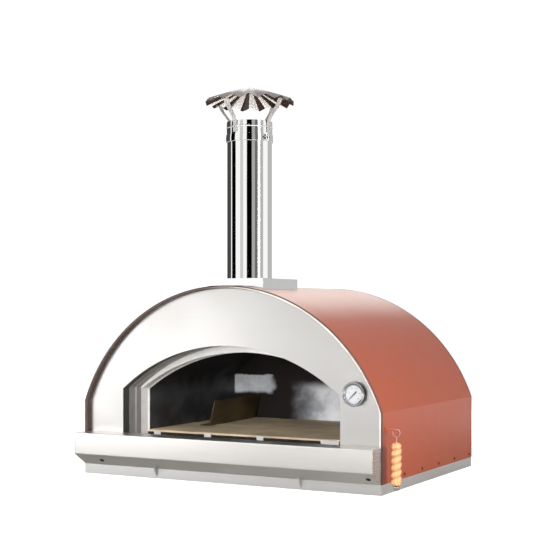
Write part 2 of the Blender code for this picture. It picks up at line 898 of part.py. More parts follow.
def thermometer_needle():
    """A pointer at its lowest reading, on the dial's axis."""
    half_width = 0.0011
    tip = 0.0250
    tail = 0.0090
    hub = circle_outline(0.0, 0.0, 0.0030, steps=16)
    start = math.radians(225)
    blade = [(tip, 0.0), (0.0, half_width), (-tail, half_width), (-tail, -half_width), (0.0, -half_width)]
    turned_blade = [
        (
            x * math.cos(start) - z * math.sin(start),
            x * math.sin(start) + z * math.cos(start),
        )
        for x, z in blade
    ]
    front = deep(PANEL_DEPTH) - 0.0075
    needle = as_mesh(
        front_plate("thermometer_needle", [turned_blade], -0.0004, 0.0004, NEEDLE_BLACK)
    )
    boss = as_mesh(front_plate("needle_hub", [hub], -0.0007, 0.0007, NEEDLE_BLACK))
    for piece in (needle, boss):
        piece.location = (THERMOMETER_X, front, THERMOMETER_Z)
    combine(needle, boss, "UNION")


# ---------------------------------------------------------------- hanging tool
def tool_hook():
    """A bent rod on a small round plate, on the casing's right side."""
    plate_x = CASING_WIDTH / 2 + FIT_GAP
    plate = cylinder("hook_plate", 0.010, 0.0022, BRUSHED, steps=24, collection=CUTTERS)
    plate.location = (plate_x + 0.0011, deep(0.034), TOOL_PIVOT_Z)
    plate.rotation_euler = ACROSS
    route = [
        (plate_x + 0.001, 0.034, TOOL_PIVOT_Z),
        (TOOL_X - 0.010, 0.034, TOOL_PIVOT_Z),
        (TOOL_X - 0.003, 0.0315, TOOL_PIVOT_Z),
        (TOOL_X, 0.025, TOOL_PIVOT_Z),
        (TOOL_X, -0.002, TOOL_PIVOT_Z),
        (TOOL_X, -0.006, TOOL_PIVOT_Z + 0.002),
        (TOOL_X, -0.008, TOOL_PIVOT_Z + 0.009),
    ]
    curve = bpy.data.curves.new("tool_hook", "CURVE")
    curve.dimensions = "3D"
    curve.bevel_depth = 0.002
    curve.bevel_resolution = 2
    curve.use_fill_caps = True
    spline = curve.splines.new("POLY")
    spline.points.add(len(route) - 1)
    for point, (x, depth, z) in zip(spline.points, route):
        point.co = (x, deep(depth), z, 1.0)
    hook = as_mesh(new_object("tool_hook", curve, BRUSHED))
    combine(hook, plate, "UNION")


def hanging_tool():
    """A short tool: a steel eye in a turned wooden handle, with a ferrule below."""
    ring_radius = 0.0112
    wire = 0.0018
    ring_z = TOOL_PIVOT_Z + 0.002 + FIT_GAP - (ring_radius - wire)
    handle_top = 0.162
    handle_bottom = 0.031
    wire_section = circle_outline(ring_radius, 0.0, wire, steps=12)
    eye = turned("tool_eye", wire_section[::-1], BRUSHED, closed=True, steps=32)
    eye.location = (TOOL_X, deep(TOOL_DEPTH), ring_z)
    eye.rotation_euler = (math.radians(90), 0.0, 0.0)
    neck_top = ring_z - ring_radius + 0.0006
    neck_bottom = handle_top - 0.018
    neck = cylinder("eye_neck", 0.0021, neck_top - neck_bottom, BRUSHED, steps=16)
    neck.location = (TOOL_X, deep(TOOL_DEPTH), (neck_top + neck_bottom) / 2)
    combine(eye, neck, "UNION")

    length = handle_top - handle_bottom
    shape = [
        (0.0055, 1.00),
        (0.0105, 0.985),
        (0.0120, 0.955),
        (0.0100, 0.925),
        (0.0128, 0.900),
        (0.0142, 0.840),
        (0.0135, 0.780),
        (0.0150, 0.740),
        (0.0155, 0.600),
        (0.0152, 0.450),
        (0.0144, 0.330),
        (0.0150, 0.260),
        (0.0138, 0.200),
        (0.0128, 0.150),
        (0.0138, 0.110),
        (0.0140, 0.060),
        (0.0122, 0.015),
        (0.0080, 0.0),
    ]
    profile = [(0.0, length)] + [(radius, share * length) for radius, share in shape] + [(0.0, 0.0)]
    handle = turned("tool_handle", profile, TURNED_WOOD, steps=32)
    handle.location = (TOOL_X, deep(TOOL_DEPTH), handle_bottom)
    cutter = cylinder("handle_socket", 0.0025, 0.04, TURNED_WOOD, 16, CUTTERS)
    cutter.location = (0.0, 0.0, length)
    cutter.parent = handle
    combine(handle, cutter, "DIFFERENCE")
    ferrule = turned(
        "tool_ferrule",
        [
            (0.0, 0.0125),
            (0.0100, 0.0125),
            (0.0108, 0.0110),
            (0.0100, 0.0035),
            (0.0060, 0.0),
            (0.0, 0.0),
        ],
        BRUSHED,
        steps=24,
    )
    ferrule.location = (TOOL_X, deep(TOOL_DEPTH), handle_bottom - 0.0130)


# ---------------------------------------------------------------- build
base_frame()
outer_casing()
casing_screws()
front_panel()
rear_panel()
front_ledge()
ledge_screws()
ledge_brackets()
mouth_tunnel()
inner_arch_frame()
smoke_duct()
vestibule_floor()
chamber()
sole()
floor_rail_and_clips()
log_guard()
flue_box()
flue_pipe()
cap_collar()
locking_band()
cap_struts()
rain_cap()
thermometer()
thermometer_needle()
tool_hook()
hanging_tool()
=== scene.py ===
"""The looks of the wood-fired pizza oven: fine sheet metal, painted casing, stone floor,
turned wood and a small studio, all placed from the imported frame.

Metres, +Z up, the front faces -Y. A depth is measured back from the casing's front lip.
"""

from collections import namedtuple
from math import asin, atan2, copysign, cos, degrees, hypot, pi, radians, sin, sqrt

import bmesh
import bpy
from mathutils import Matrix, Vector

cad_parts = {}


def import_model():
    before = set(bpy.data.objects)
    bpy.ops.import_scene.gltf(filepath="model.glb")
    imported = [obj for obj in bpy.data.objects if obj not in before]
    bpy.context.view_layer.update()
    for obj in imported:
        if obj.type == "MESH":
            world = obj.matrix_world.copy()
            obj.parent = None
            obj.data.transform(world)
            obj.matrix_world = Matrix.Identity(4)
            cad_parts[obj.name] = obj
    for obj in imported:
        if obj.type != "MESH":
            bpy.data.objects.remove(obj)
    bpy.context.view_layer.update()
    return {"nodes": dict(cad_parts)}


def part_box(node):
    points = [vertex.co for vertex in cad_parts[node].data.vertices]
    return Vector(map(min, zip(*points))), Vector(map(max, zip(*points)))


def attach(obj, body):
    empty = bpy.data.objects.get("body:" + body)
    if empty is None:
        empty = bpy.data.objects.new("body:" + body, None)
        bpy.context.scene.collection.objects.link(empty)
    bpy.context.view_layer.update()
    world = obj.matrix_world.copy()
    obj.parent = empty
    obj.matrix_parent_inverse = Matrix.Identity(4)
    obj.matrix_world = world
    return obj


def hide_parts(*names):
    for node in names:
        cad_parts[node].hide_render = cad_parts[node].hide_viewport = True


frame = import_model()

SCENE = bpy.context.scene
SHEET = 0.002
ARC_STEPS = 120
FORWARD = (0, -1, 0)
SIDES = (("left", -1), ("right", 1))

Arch = namedtuple("Arch", "half_width centre_z radius")


# ---- places from the frame
def low(node):
    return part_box(node)[0]


def high(node):
    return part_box(node)[1]


def middle(node):
    return (low(node) + high(node)) / 2


def half_width(node):
    return (high(node).x - low(node).x) / 2


def arch_over(node, radius, wall):
    """The arch whose outside, one wall further out, fills the node's box."""
    top = high(node)
    return Arch(top.x - wall, top.z - wall - radius, radius)


REVEAL_FOLD = 0.004
INNER_DROP = 0.024
INNER_RADIUS = 0.676
CASING_ARCH = arch_over("outer_casing", radius=0.585, wall=0.0)
MOUTH_ARCH = arch_over("mouth_tunnel", radius=0.621, wall=SHEET + REVEAL_FOLD)
CHAMBER_ARCH = arch_over("chamber_vault", radius=0.5456, wall=SHEET)
INNER_TOP = MOUTH_ARCH.centre_z + MOUTH_ARCH.radius - INNER_DROP
INNER_ARCH = Arch(MOUTH_ARCH.half_width, INNER_TOP - INNER_RADIUS, INNER_RADIUS)
FRONT_Y = low("outer_casing").y
PANEL_Y = low("front_panel").y


# ---- shader building
MIX_FIRST, MIX_SECOND, MIX_RESULT = 6, 7, 2     # the Mix node's sockets for colours


class Shader:
    """A node tree in the making, with one short call for each node that it needs."""

    def __init__(self, tree, surface):
        self.tree = tree
        self.surface = tree.nodes[surface]

    def put(self, socket, value):
        """Set or link one input of the surface."""
        self.feed(self.surface.inputs[socket], value)

    def feed(self, socket, value):
        if isinstance(value, bpy.types.NodeSocket):
            self.tree.links.new(value, socket)
        elif isinstance(value, tuple) and len(value) == 3 and len(socket.default_value) == 4:
            socket.default_value = (*value, 1.0)
        else:
            socket.default_value = value

    def node(self, kind, output=0, **inputs):
        made = self.tree.nodes.new(kind)
        for key, value in inputs.items():
            self.feed(made.inputs[key], value)
        return made, made.outputs[output]

    def position(self, scale=(1, 1, 1)):
        _, coords = self.node("ShaderNodeTexCoord", "Object")
        return self.node("ShaderNodeMapping", Vector=coords, Scale=scale)[1]

    def noise(self, scale, stretch=(1, 1, 1), detail=4.0, roughness=0.5):
        texture = "ShaderNodeTexNoise"
        at = self.position(stretch)
        return self.node(texture, "Fac", Vector=at, Scale=scale, Detail=detail, Roughness=roughness)[1]

    def split(self, vector):
        """The X, Y and Z of a vector."""
        return self.node("ShaderNodeSeparateXYZ", Vector=vector)[0].outputs

    def length(self, vector):
        made, _ = self.node("ShaderNodeVectorMath", Vector=vector)
        made.operation = "LENGTH"
        return made.outputs["Value"]

    def spread(self, value, start=0.3, end=0.7, low_value=0.0, high_value=1.0):
        """Value from start to end becomes low_value to high_value, held at both ends."""
        made, result = self.node("ShaderNodeMapRange", Value=value)
        made.interpolation_type = "SMOOTHSTEP"
        ends = {"From Min": start, "From Max": end, "To Min": low_value, "To Max": high_value}
        for key, number in ends.items():
            self.feed(made.inputs[key], number)
        return result

    def maths(self, operation, first, second=0.0):
        made, result = self.node("ShaderNodeMath")
        made.operation = operation
        self.feed(made.inputs[0], first)
        self.feed(made.inputs[1], second)
        return result

    def mix(self, share, first, second):
        made = self.tree.nodes.new("ShaderNodeMix")
        made.data_type = "RGBA"
        self.feed(made.inputs["Factor"], share)
        self.feed(made.inputs[MIX_FIRST], first)
        self.feed(made.inputs[MIX_SECOND], second)
        return made.outputs[MIX_RESULT]

    def bump(self, heights, strength, distance):
        made, _ = self.node("ShaderNodeBump", Height=heights, Strength=strength, Distance=distance)
        if self.surface.inputs["Normal"].is_linked:
            before = self.surface.inputs["Normal"].links[0].from_socket
            self.tree.links.new(before, made.inputs["Normal"])
        self.put("Normal", made.outputs["Normal"])


class Material(Shader):
    """A Principled material; base_color=, coat_weight= and the like set its inputs."""

    def __init__(self, name, **values):
        self.material = bpy.data.materials.new(name)
        self.material.use_nodes = True
        super().__init__(self.material.node_tree, "Principled BSDF")
        for key, value in values.items():
            self.put(key.replace("_", " ").title(), value)

    def colour(self, share, first, second):
        mixed = self.mix(share, first, second)
        self.put("Base Color", mixed)

    def roughen(self, value, start, end, at_start, at_end):
        roughness = self.spread(value, start, end, at_start, at_end)
        self.put("Roughness", roughness)


def darker(tint, share):
    return tuple(channel * share for channel in tint)


# ---- materials
ALONG_X = (1.0, 220.0, 220.0)
ALONG_Y = (220.0, 1.0, 220.0)
ALONG_Z = (220.0, 220.0, 1.0)


def mottled(name, scale, dark, pale, rough=None, bump=None, detail=4.0, grain=0.5,
            stretch=(1, 1, 1), **values):
    """A finish of one noise, which mixes two colours and may set the roughness and a bump."""
    finish = Material(name, **values)
    cloud = finish.noise(scale, stretch, detail, grain)
    finish.colour(cloud, dark, pale)
    if rough:
        finish.roughen(cloud, 0.3, 0.7, *rough)
    if bump:
        finish.bump(cloud, *bump)
    return finish.material


def smudged(name, scale, window, rough, **values):
    """A bright finish of one colour, dulled where its smudges pass through the window."""
    finish = Material(name, **values)
    finish.roughen(finish.noise(scale, detail=5.0), *window, *rough)
    return finish.material


def powder_coat():
    """Matt terracotta paint: orange-peel bump, clouds, streaks, and a painted pale sheen on its
    upward-facing crown.
    """
    paint = Material("terracotta_powder_coat", coat_weight=0.12, coat_roughness=0.22)
    clouds = paint.noise(5.0, detail=6.0, roughness=0.6)
    streaks = paint.noise(3.0, stretch=(26.0, 26.0, 1.2), detail=5.0)
    clay = paint.mix(paint.spread(clouds), (0.268, 0.045, 0.013), (0.288, 0.052, 0.017))
    worn = paint.mix(paint.spread(streaks, 0.45, 0.8, 0.0, 0.08), clay, (0.36, 0.13, 0.09))
    # painted sheen: faces that point up are mixed towards pale pink, standing in for the grazing highlight
    # on the crown
    _, facing_way = paint.node("ShaderNodeTexCoord", "Normal")
    crown_sheen = paint.spread(paint.split(facing_way)["Z"], 0.80, 1.0, 0.0, 0.78)
    paint.colour(crown_sheen, worn, (0.95, 0.70, 0.61))
    paint.roughen(clouds, 0.25, 0.75, 0.36, 0.44)
    paint.bump(paint.noise(420.0, detail=2.0), 0.08, 0.0005)
    return paint.material


def brushed_steel(name, along, tint, roughness):
    """Stainless sheet with a straight grain, faint smudges and fine scratches."""
    steel = Material(name, metallic=1.0)
    grain = steel.noise(6.0, stretch=along, detail=3.0)
    smudges = steel.noise(5.0)
    steel.colour(steel.spread(grain), darker(tint, 0.96), tint)
    worn = steel.spread(smudges, 0.35, 0.70, roughness - 0.02, roughness + 0.03)
    steel.put("Roughness", steel.maths("ADD", worn, steel.spread(grain, 0.3, 0.7, -0.015, 0.015)))
    steel.bump(grain, 0.035, 0.0002)
    return steel.material


def satin_steel(name, along, tint, metallic=0.5):
    """Bead-blasted or hemmed sheet that scatters much of its light, with a faint grain."""
    steel = Material(name, metallic=metallic, roughness=0.48)
    grain = steel.noise(6.0, stretch=along, detail=3.0)
    stains = steel.noise(14.0, detail=5.0, roughness=0.6)
    shade = steel.mix(steel.spread(stains, 0.35, 0.7), tint, darker(tint, 0.86))
    lines = steel.spread(grain, 0.5, 0.8, 0.0, 0.5)
    steel.colour(lines, shade, darker(tint, 0.80))
    steel.bump(grain, 0.04, 0.0002)
    return steel.material


def half_lit_nose_steel():
    """The nose of the front trim: painted shade in dark brown on the left of the arch, and a painted cream
    highlight on its right.
    """
    steel = Material("nose_painted_light", metallic=0.75, roughness=0.34)
    # painted light: dark along the left of the nose as painted shade, cream along its right as a painted
    # highlight
    painted_shade_share = steel.spread(steel.split(steel.position())["X"], -0.10, 0.22, 1.0, 0.0)
    stain = steel.noise(24.0, detail=5.0)
    painted_highlight = steel.mix(steel.spread(stain, 0.35, 0.7), (0.96, 0.88, 0.82), (0.80, 0.72, 0.66))
    steel.colour(painted_shade_share, painted_highlight, (0.12, 0.085, 0.075))
    return steel.material


def weathered_shaded_cap_steel():
    """The cap's top: bright at the hub and darker towards the rim, partly brown weathering and partly
    painted shade for its darker reflections.
    """
    steel = Material("cap_weather_and_shade", metallic=0.85)
    from_axis = steel.length(steel.position((1.0, 1.0, 0.0)))
    weather = steel.noise(40.0, detail=5.0)
    reach = steel.maths("ADD", from_axis, steel.spread(weather, 0.3, 0.7, -0.012, 0.012))
    # darker towards the rim: brown weathering together with painted shade
    outer = steel.mix(steel.spread(weather), (0.13, 0.10, 0.085), (0.23, 0.19, 0.165))
    steel.colour(steel.spread(reach, 0.035, 0.105), (0.90, 0.88, 0.84), outer)
    steel.roughen(weather, 0.3, 0.7, 0.22, 0.34)
    return steel.material


def polished_steel():
    """Mirror-bright tube with faint rolling ripples and fingerprints."""
    steel = Material("polished_stainless", metallic=1.0, base_color=(0.86, 0.86, 0.85))
    prints = steel.noise(30.0, detail=6.0, roughness=0.65)
    steel.roughen(prints, 0.4, 0.75, 0.035, 0.09)
    steel.bump(steel.noise(3.0, stretch=(3.0, 3.0, 0.8), detail=2.0), 0.12, 0.004)
    return steel.material


def sooty_steel():
    """The vault's sheet: dull grey and glossy low down, baked black with soot above."""
    steel = Material("sooty_stainless")
    patches = steel.noise(9.0, detail=6.0, roughness=0.6)
    height = steel.split(steel.position())["Z"]
    soot = steel.spread(steel.maths("ADD", height, steel.spread(patches, 0.2, 0.8, -0.05, 0.05)), 0.22, 0.36)
    smoky = steel.mix(steel.spread(patches, 0.35, 0.7), (0.035, 0.034, 0.035), (0.085, 0.086, 0.090))
    steel.colour(soot, smoky, (0.010, 0.009, 0.009))
    steel.put("Metallic", steel.spread(soot, 0.0, 1.0, 0.35, 0.0))
    steel.roughen(soot, 0.0, 1.0, 0.42, 0.92)
    steel.bump(steel.noise(160.0, detail=3.0), 0.10, 0.0008)
    return steel.material


def painted_reflection_wall():
    """The back wall: black with soot, with painted bright reflections low in its left corner and on its
    right, and left black below the left patch as painted shade over the guard.
    """
    corner_edge = low("chamber_back_wall").x + 0.165
    corner_fade = 0.020
    steel = Material("back_wall_painted_reflection")
    place = steel.split(steel.position())
    cloud = steel.noise(13.0, detail=5.0, roughness=0.55)
    sway = steel.spread(cloud, 0.3, 0.7, -0.02, 0.02)
    across = steel.maths("ADD", place["X"], sway)
    above = steel.maths("ADD", place["Z"], steel.maths("MULTIPLY", sway, 0.25))
    left_side = steel.spread(across, corner_edge - corner_fade, corner_edge + corner_fade, 1.0, 0.0)
    left = steel.maths("MULTIPLY", left_side, steel.spread(above, 0.226, 0.242))
    right_side = steel.spread(across, -0.18, 0.03)
    right = steel.maths("MULTIPLY", right_side, steel.spread(above, 0.255, 0.292, 1.0, 0.0))
    below_crown = steel.spread(above, 0.300, 0.307, 1.0, 0.0)
    # painted reflection: where this share is high, bright steel is mixed into the soot
    painted_reflection = steel.maths("MULTIPLY", steel.maths("MAXIMUM", left, right), below_crown)
    reflection_tone = steel.mix(steel.spread(cloud, 0.35, 0.65), (0.55, 0.57, 0.61), (0.86, 0.87, 0.90))
    steel.colour(painted_reflection, (0.016, 0.013, 0.013), reflection_tone)
    steel.put("Metallic", steel.spread(painted_reflection, 0.0, 1.0, 0.0, 0.15))
    steel.roughen(painted_reflection, 0.0, 1.0, 0.8, 0.45)
    steel.bump(steel.noise(120.0, detail=3.0), 0.08, 0.0008)
    return steel.material


def heat_tinted_steel():
    """Straw to dull brown oxide bands on the guard, with specks of ash."""
    steel = Material("heat_tinted_steel", metallic=0.35)
    drift = steel.noise(8.0, stretch=(1.0, 1.0, 3.0), detail=5.0)
    tint = steel.mix(steel.spread(drift), (0.055, 0.036, 0.014), (0.130, 0.096, 0.042))
    ash = steel.noise(90.0, detail=5.0)
    steel.colour(steel.spread(ash, 0.62, 0.8, 0, 0.5), tint, (0.2, 0.18, 0.15))
    steel.roughen(drift, 0.3, 0.7, 0.42, 0.62)
    steel.bump(ash, 0.12, 0.0008)
    return steel.material


def fireclay(name, tint):
    """Sandy refractory tile with grog specks, pores and ash stains."""
    clay = Material(name, roughness=0.88)
    stain = clay.noise(6.0, detail=6.0, roughness=0.62)
    grog = clay.noise(260.0, detail=3.0)
    body = clay.mix(clay.spread(stain, 0.30, 0.72), tint, darker(tint, 0.62))
    specks = clay.spread(grog, 0.60, 0.75, 0.0, 0.55)
    clay.colour(specks, body, (0.62, 0.54, 0.42))
    clay.bump(grog, 0.35, 0.0010)
    clay.bump(clay.noise(30.0), 0.15, 0.0015)
    return clay.material


def turned_wood(name, pale, deep):
    """Turned beech: long grain, short dark flecks and a thin satin varnish."""
    wood = Material(name, coat_weight=0.25, coat_roughness=0.25)
    grain = wood.noise(14.0, stretch=(9.0, 9.0, 0.9), detail=6.0, roughness=0.6)
    flecks = wood.noise(90.0, stretch=(6.0, 6.0, 0.6), detail=3.0)
    body = wood.mix(wood.spread(grain, 0.3, 0.72), pale, deep)
    wood.colour(wood.spread(flecks, 0.62, 0.78, 0.0, 0.5), body, (0.36, 0.15, 0.05))
    wood.roughen(grain, 0.3, 0.7, 0.42, 0.55)
    wood.bump(grain, 0.12, 0.0006)
    return wood.material


TERRACOTTA = powder_coat()
FACE_STEEL = brushed_steel("brushed_face", ALONG_X, (0.66, 0.645, 0.63), 0.36)
LEDGE_STEEL = brushed_steel("brushed_ledge", ALONG_X, (0.95, 0.925, 0.89), 0.32)
CHEEK_STEEL = brushed_steel("brushed_cheek", ALONG_Y, (0.90, 0.83, 0.79), 0.26)
BASE_STEEL = brushed_steel("brushed_base", ALONG_X, (0.95, 0.94, 0.92), 0.40)
BOX_STEEL = brushed_steel("brushed_flue_box", ALONG_X, (0.97, 0.96, 0.95), 0.13)
ROD_STEEL = brushed_steel("drawn_rod", ALONG_Z, (0.78, 0.76, 0.75), 0.18)
# pink-tinted steel for the tool's eye ring
HOOK_STEEL = brushed_steel("pink_tinted_hook", ALONG_Z, (0.74, 0.42, 0.38), 0.30)
# painted shade: the front trim is tinted near black-brown, standing in for the shade on the recess's inner
# wall
FRONT_TRIM = brushed_steel("trim_painted_shade", ALONG_Y, (0.15, 0.105, 0.095), 0.30)
REAR_TRIM = brushed_steel("dull_trim", ALONG_Y, (0.26, 0.21, 0.19), 0.30)
NOSE_TRIM = half_lit_nose_steel()
# painted shade: the reveal's front strip is near black, standing in for the shade just inside the panel's
# edge
REVEAL_SHADE_STEEL = satin_steel("reveal_painted_shade", ALONG_Y, (0.055, 0.055, 0.048))
REVEAL_STEEL = satin_steel("satin_reveal", ALONG_Y, (0.28, 0.265, 0.26))
FRAME_STEEL = satin_steel("satin_frame", ALONG_Y, (0.85, 0.825, 0.80))
LIP_STEEL = satin_steel("satin_lip", ALONG_X, (0.97, 0.96, 0.95), 0.2)
CAP_INSIDE = satin_steel("satin_cap_underside", (1.0, 1.0, 1.0), (0.93, 0.90, 0.86), 0.35)
STRUT_STEEL = satin_steel("rolled_strap", ALONG_Z, (0.42, 0.40, 0.385), 0.5)
PIPE_STEEL = polished_steel()
CAP_STEEL = weathered_shaded_cap_steel()
SOOTY = sooty_steel()
BACK_WALL_PAINTED_REFLECTION = painted_reflection_wall()
GUARD_STEEL = heat_tinted_steel()
# soot black; on the floor rail it also stands in for the shade in the gap under the front tiles
SOOT_AND_SHADE_BLACK = mottled(
    "soot_and_shade_black", 40.0, (0.006, 0.006, 0.006), (0.028, 0.025, 0.023),
    bump=(0.3, 0.002), detail=6.0, roughness=0.93,
)
DARK_STEEL = mottled(
    "blackened_steel", 45.0, (0.012, 0.011, 0.010), (0.060, 0.055, 0.048),
    rough=(0.45, 0.7), bump=(0.25, 0.0012), detail=6.0, metallic=0.6,
)
# painted shade: the dark steel that the cap's rim and the shaded flanks of its pleats take
CAP_SHADE_STEEL = mottled(
    "cap_painted_shade", 35.0, (0.020, 0.012, 0.009), (0.085, 0.055, 0.042),
    rough=(0.30, 0.50), bump=(0.15, 0.0008), detail=5.0, grain=0.6, metallic=0.7,
)
WOOL = mottled(
    "ceramic_wool", 60.0, (0.62, 0.60, 0.56), (0.86, 0.85, 0.82),
    bump=(0.6, 0.003), detail=8.0, grain=0.7, stretch=(1.0, 4.0, 3.0), roughness=0.97,
)
BOARD = mottled(
    "insulating_board", 180.0, (0.50, 0.46, 0.39), (0.68, 0.64, 0.56),
    bump=(0.4, 0.0012), roughness=0.95,
)
# painted shade: the thermometer's case is near black, standing in for the shade and dark reflection on its
# side
CASE_SHADE_BLACK = mottled(
    "case_painted_shade", 80.0, (0.012, 0.012, 0.013), (0.030, 0.030, 0.032), rough=(0.16, 0.28), metallic=0.9
)
SCREW = mottled(
    "screw_steel", 400.0, (0.24, 0.23, 0.22), (0.42, 0.41, 0.39),
    rough=(0.25, 0.42), detail=3.0, metallic=1.0,
)
DIAL = mottled("dial_enamel", 55.0, (0.36, 0.365, 0.375), (0.42, 0.42, 0.43), roughness=0.42)
INK = mottled("dial_ink", 300.0, (0.05, 0.05, 0.055), (0.09, 0.09, 0.095), roughness=0.6)
NEEDLE = mottled("needle_paint", 200.0, (0.014, 0.014, 0.016), (0.026, 0.026, 0.029), roughness=0.4)
CHROME = smudged(
    "chrome_plate", 70.0, (0.4, 0.8), (0.10, 0.18), metallic=1.0, base_color=(0.42, 0.42, 0.43)
)
GLASS = smudged("gauge_glass", 120.0, (0.5, 0.8), (0.02, 0.10), alpha=0.05, base_color=(0.42, 0.46, 0.46))
WOOD = turned_wood("turned_wood", (0.58, 0.315, 0.155), (0.46, 0.225, 0.095))
# painted shade: the darker wood for the faces deep in the handle's groove
GROOVE_SHADE_WOOD = turned_wood("painted_groove_shade", (0.44, 0.205, 0.085), (0.34, 0.145, 0.055))


# ---- outlines
def arc(centre, radii, start, sweep, steps):
    """Points round an ellipse about centre, from start through sweep, both in degrees."""
    turns = [radians(start + sweep * step / steps) for step in range(steps + 1)]
    return [(centre[0] + radii[0] * cos(turn), centre[1] + radii[1] * sin(turn)) for turn in turns]


def circle(centre, radius, steps):
    return arc(centre, (radius, radius), 0, 360, steps)[:-1]


def rounded(points, radius, closed=False, steps=3):
    """The same outline with each corner turned by a small curve."""
    made = []
    count = len(points)
    for index, point in enumerate(points):
        corner = Vector(point)
        if not closed and index in (0, count - 1):
            made.append(tuple(corner))
            continue
        before = Vector(points[index - 1]) - corner
        after = Vector(points[(index + 1) % count]) - corner
        reach = min(radius, before.length * 0.45, after.length * 0.45)
        start = corner + before.normalized() * reach
        end = corner + after.normalized() * reach
        for step in range(steps + 1):
            share = step / steps
            made.append(tuple(start.lerp(corner, share).lerp(corner.lerp(end, share), share)))
    return made


def arch_outline(arch, bottom, offset=0.0):
    """(x, z) points over an arch, from its left foot to its right foot."""
    half = arch.half_width + offset
    radius = arch.radius + offset
    spring = degrees(asin(half / radius))
    over = arc((0.0, arch.centre_z), (radius, radius), 90 + spring, -2 * spring, ARC_STEPS)
    return [(-half, bottom), *over, (half, bottom)]


# ---- mesh building
def even_normals(obj):
    """Keep the big flat faces flat where a small bevel or fold meets them."""
    weighted = obj.modifiers.new("Normals", "WEIGHTED_NORMAL")
    weighted.keep_sharp = True
    weighted.weight = 90


def smooth(mesh, sharp=30.0):
    mesh.shade_smooth()
    mesh.set_sharp_from_angle(angle=radians(sharp))


def drop_custom_normals(mesh):
    if "custom_normal" in mesh.attributes:
        mesh.attributes.remove(mesh.attributes["custom_normal"])


def settle(obj, sharp=30.0):
    """A welded mesh object in place of obj, with its modifiers applied and its edges sharpened."""
    bpy.context.view_layer.update()
    graph = bpy.context.evaluated_depsgraph_get()
    mesh = bpy.data.meshes.new_from_object(obj.evaluated_get(graph))
    name = obj.name
    place = obj.matrix_world.copy()
    bpy.data.objects.remove(obj, do_unlink=True)
    bm = bmesh.new()
    bm.from_mesh(mesh)
    bmesh.ops.remove_doubles(bm, verts=bm.verts, dist=0.000002)
    bm.to_mesh(mesh)
    bm.free()
    drop_custom_normals(mesh)
    smooth(mesh, sharp)
    settled = add_object(name, mesh)
    settled.matrix_world = place
    even_normals(settled)
    return settled


def add_object(name, data, *materials):
    obj = bpy.data.objects.new(name, data)
    SCENE.collection.objects.link(obj)
    for material in materials:
        data.materials.append(material)
    return obj


def from_bmesh(name, bm, *materials, outwards=True):
    if outwards:
        bmesh.ops.recalc_face_normals(bm, faces=bm.faces)
    mesh = bpy.data.meshes.new(name)
    bm.to_mesh(mesh)
    bm.free()
    return add_object(name, mesh, *materials)


def fit(obj, slot_name, *nodes, body="oven"):
    """The piece rides on its body and stands for its CAD nodes, which are hidden; slot_name is not used."""
    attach(obj, body)
    if nodes:
        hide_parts(*nodes)


def bevel(obj, width, segments=2):
    modifier = obj.modifiers.new("Edges", "BEVEL")
    modifier.width = width
    modifier.segments = segments
    modifier.limit_method = "ANGLE"
    modifier.angle_limit = radians(40)


def cut_out(obj, cutters, sharp=30.0):
    """Settle obj with the cutters taken out of it, and remove them."""
    for cutter in cutters:
        hole = obj.modifiers.new("Hole", "BOOLEAN")
        hole.operation = "DIFFERENCE"
        hole.solver = "EXACT"
        hole.object = cutter
    obj = settle(obj, sharp)
    for cutter in cutters:
        bpy.data.objects.remove(cutter, do_unlink=True)
    return obj


def pointing(direction, centre=(0, 0, 0)):
    """The matrix that moves a piece made round +Z to centre and along direction."""
    turn = Vector((0, 0, 1)).rotation_difference(Vector(direction))
    return Matrix.Translation(centre) @ turn.to_matrix().to_4x4()


def bridge(bm, rows, closed=False):
    """Faces between neighbouring rows of vertices; a row of one makes a fan."""
    for first, second in zip(rows, rows[1:]):
        count = max(len(first), len(second))
        for step in range(count if closed else count - 1):
            after = (step + 1) % count
            near = [first[step % len(first)], first[after % len(first)]]
            far = [second[after % len(second)], second[step % len(second)]]
            bm.faces.new(tuple(dict.fromkeys(near + far)))


def push_out(bm, corners, push):
    """A flat face through the corners, made a slab by pushing it."""
    face = bm.faces.new([bm.verts.new(corner) for corner in corners])
    made = bmesh.ops.extrude_face_region(bm, geom=[face])
    moved = [item for item in made["geom"] if isinstance(item, bmesh.types.BMVert)]
    bmesh.ops.translate(bm, verts=moved, vec=push)


def box_mesh(name, first, last, material):
    bm = bmesh.new()
    bmesh.ops.create_cube(bm, size=1.0)
    for vert in bm.verts:
        vert.co = [a + (b - a) * (c + 0.5) for a, b, c in zip(first, last, vert.co)]
    return from_bmesh(name, bm, material)


def thicken(obj, thickness):
    """Make a sheet of a surface, which stays its seen face."""
    solidify = obj.modifiers.new("Sheet", "SOLIDIFY")
    solidify.thickness = thickness
    solidify.offset = -1.0
    return solidify


def sheet_between(name, rows, material, thickness=SHEET):
    """A folded sheet through rows of points."""
    bm = bmesh.new()
    bridge(bm, [[bm.verts.new(point) for point in row] for row in rows])
    obj = from_bmesh(name, bm, material, outwards=False)
    thicken(obj, thickness).use_even_offset = True
    return obj


def arch_sheet(name, foot, rails, material, inside=False, thickness=SHEET):
    """A folded sheet over an arch. Each rail is (arch, offset, y) on its seen face."""
    rows = []
    for arch, offset, y in rails:
        rows.append([(x, y, z) for x, z in arch_outline(arch, foot, offset)])
    return sheet_between(name, rows[::-1] if inside else rows, material, thickness)


def poly_curve(name, outlines, dimensions, closed):
    """A curve object with one straight-sided spline for each outline."""
    curve = bpy.data.curves.new(name, "CURVE")
    curve.dimensions = dimensions
    for outline in outlines:
        spline = curve.splines.new("POLY")
        spline.points.add(len(outline) - 1)
        for point, place in zip(spline.points, outline):
            point.co = (*place, 1.0)
        spline.use_cyclic_u = closed
    return curve


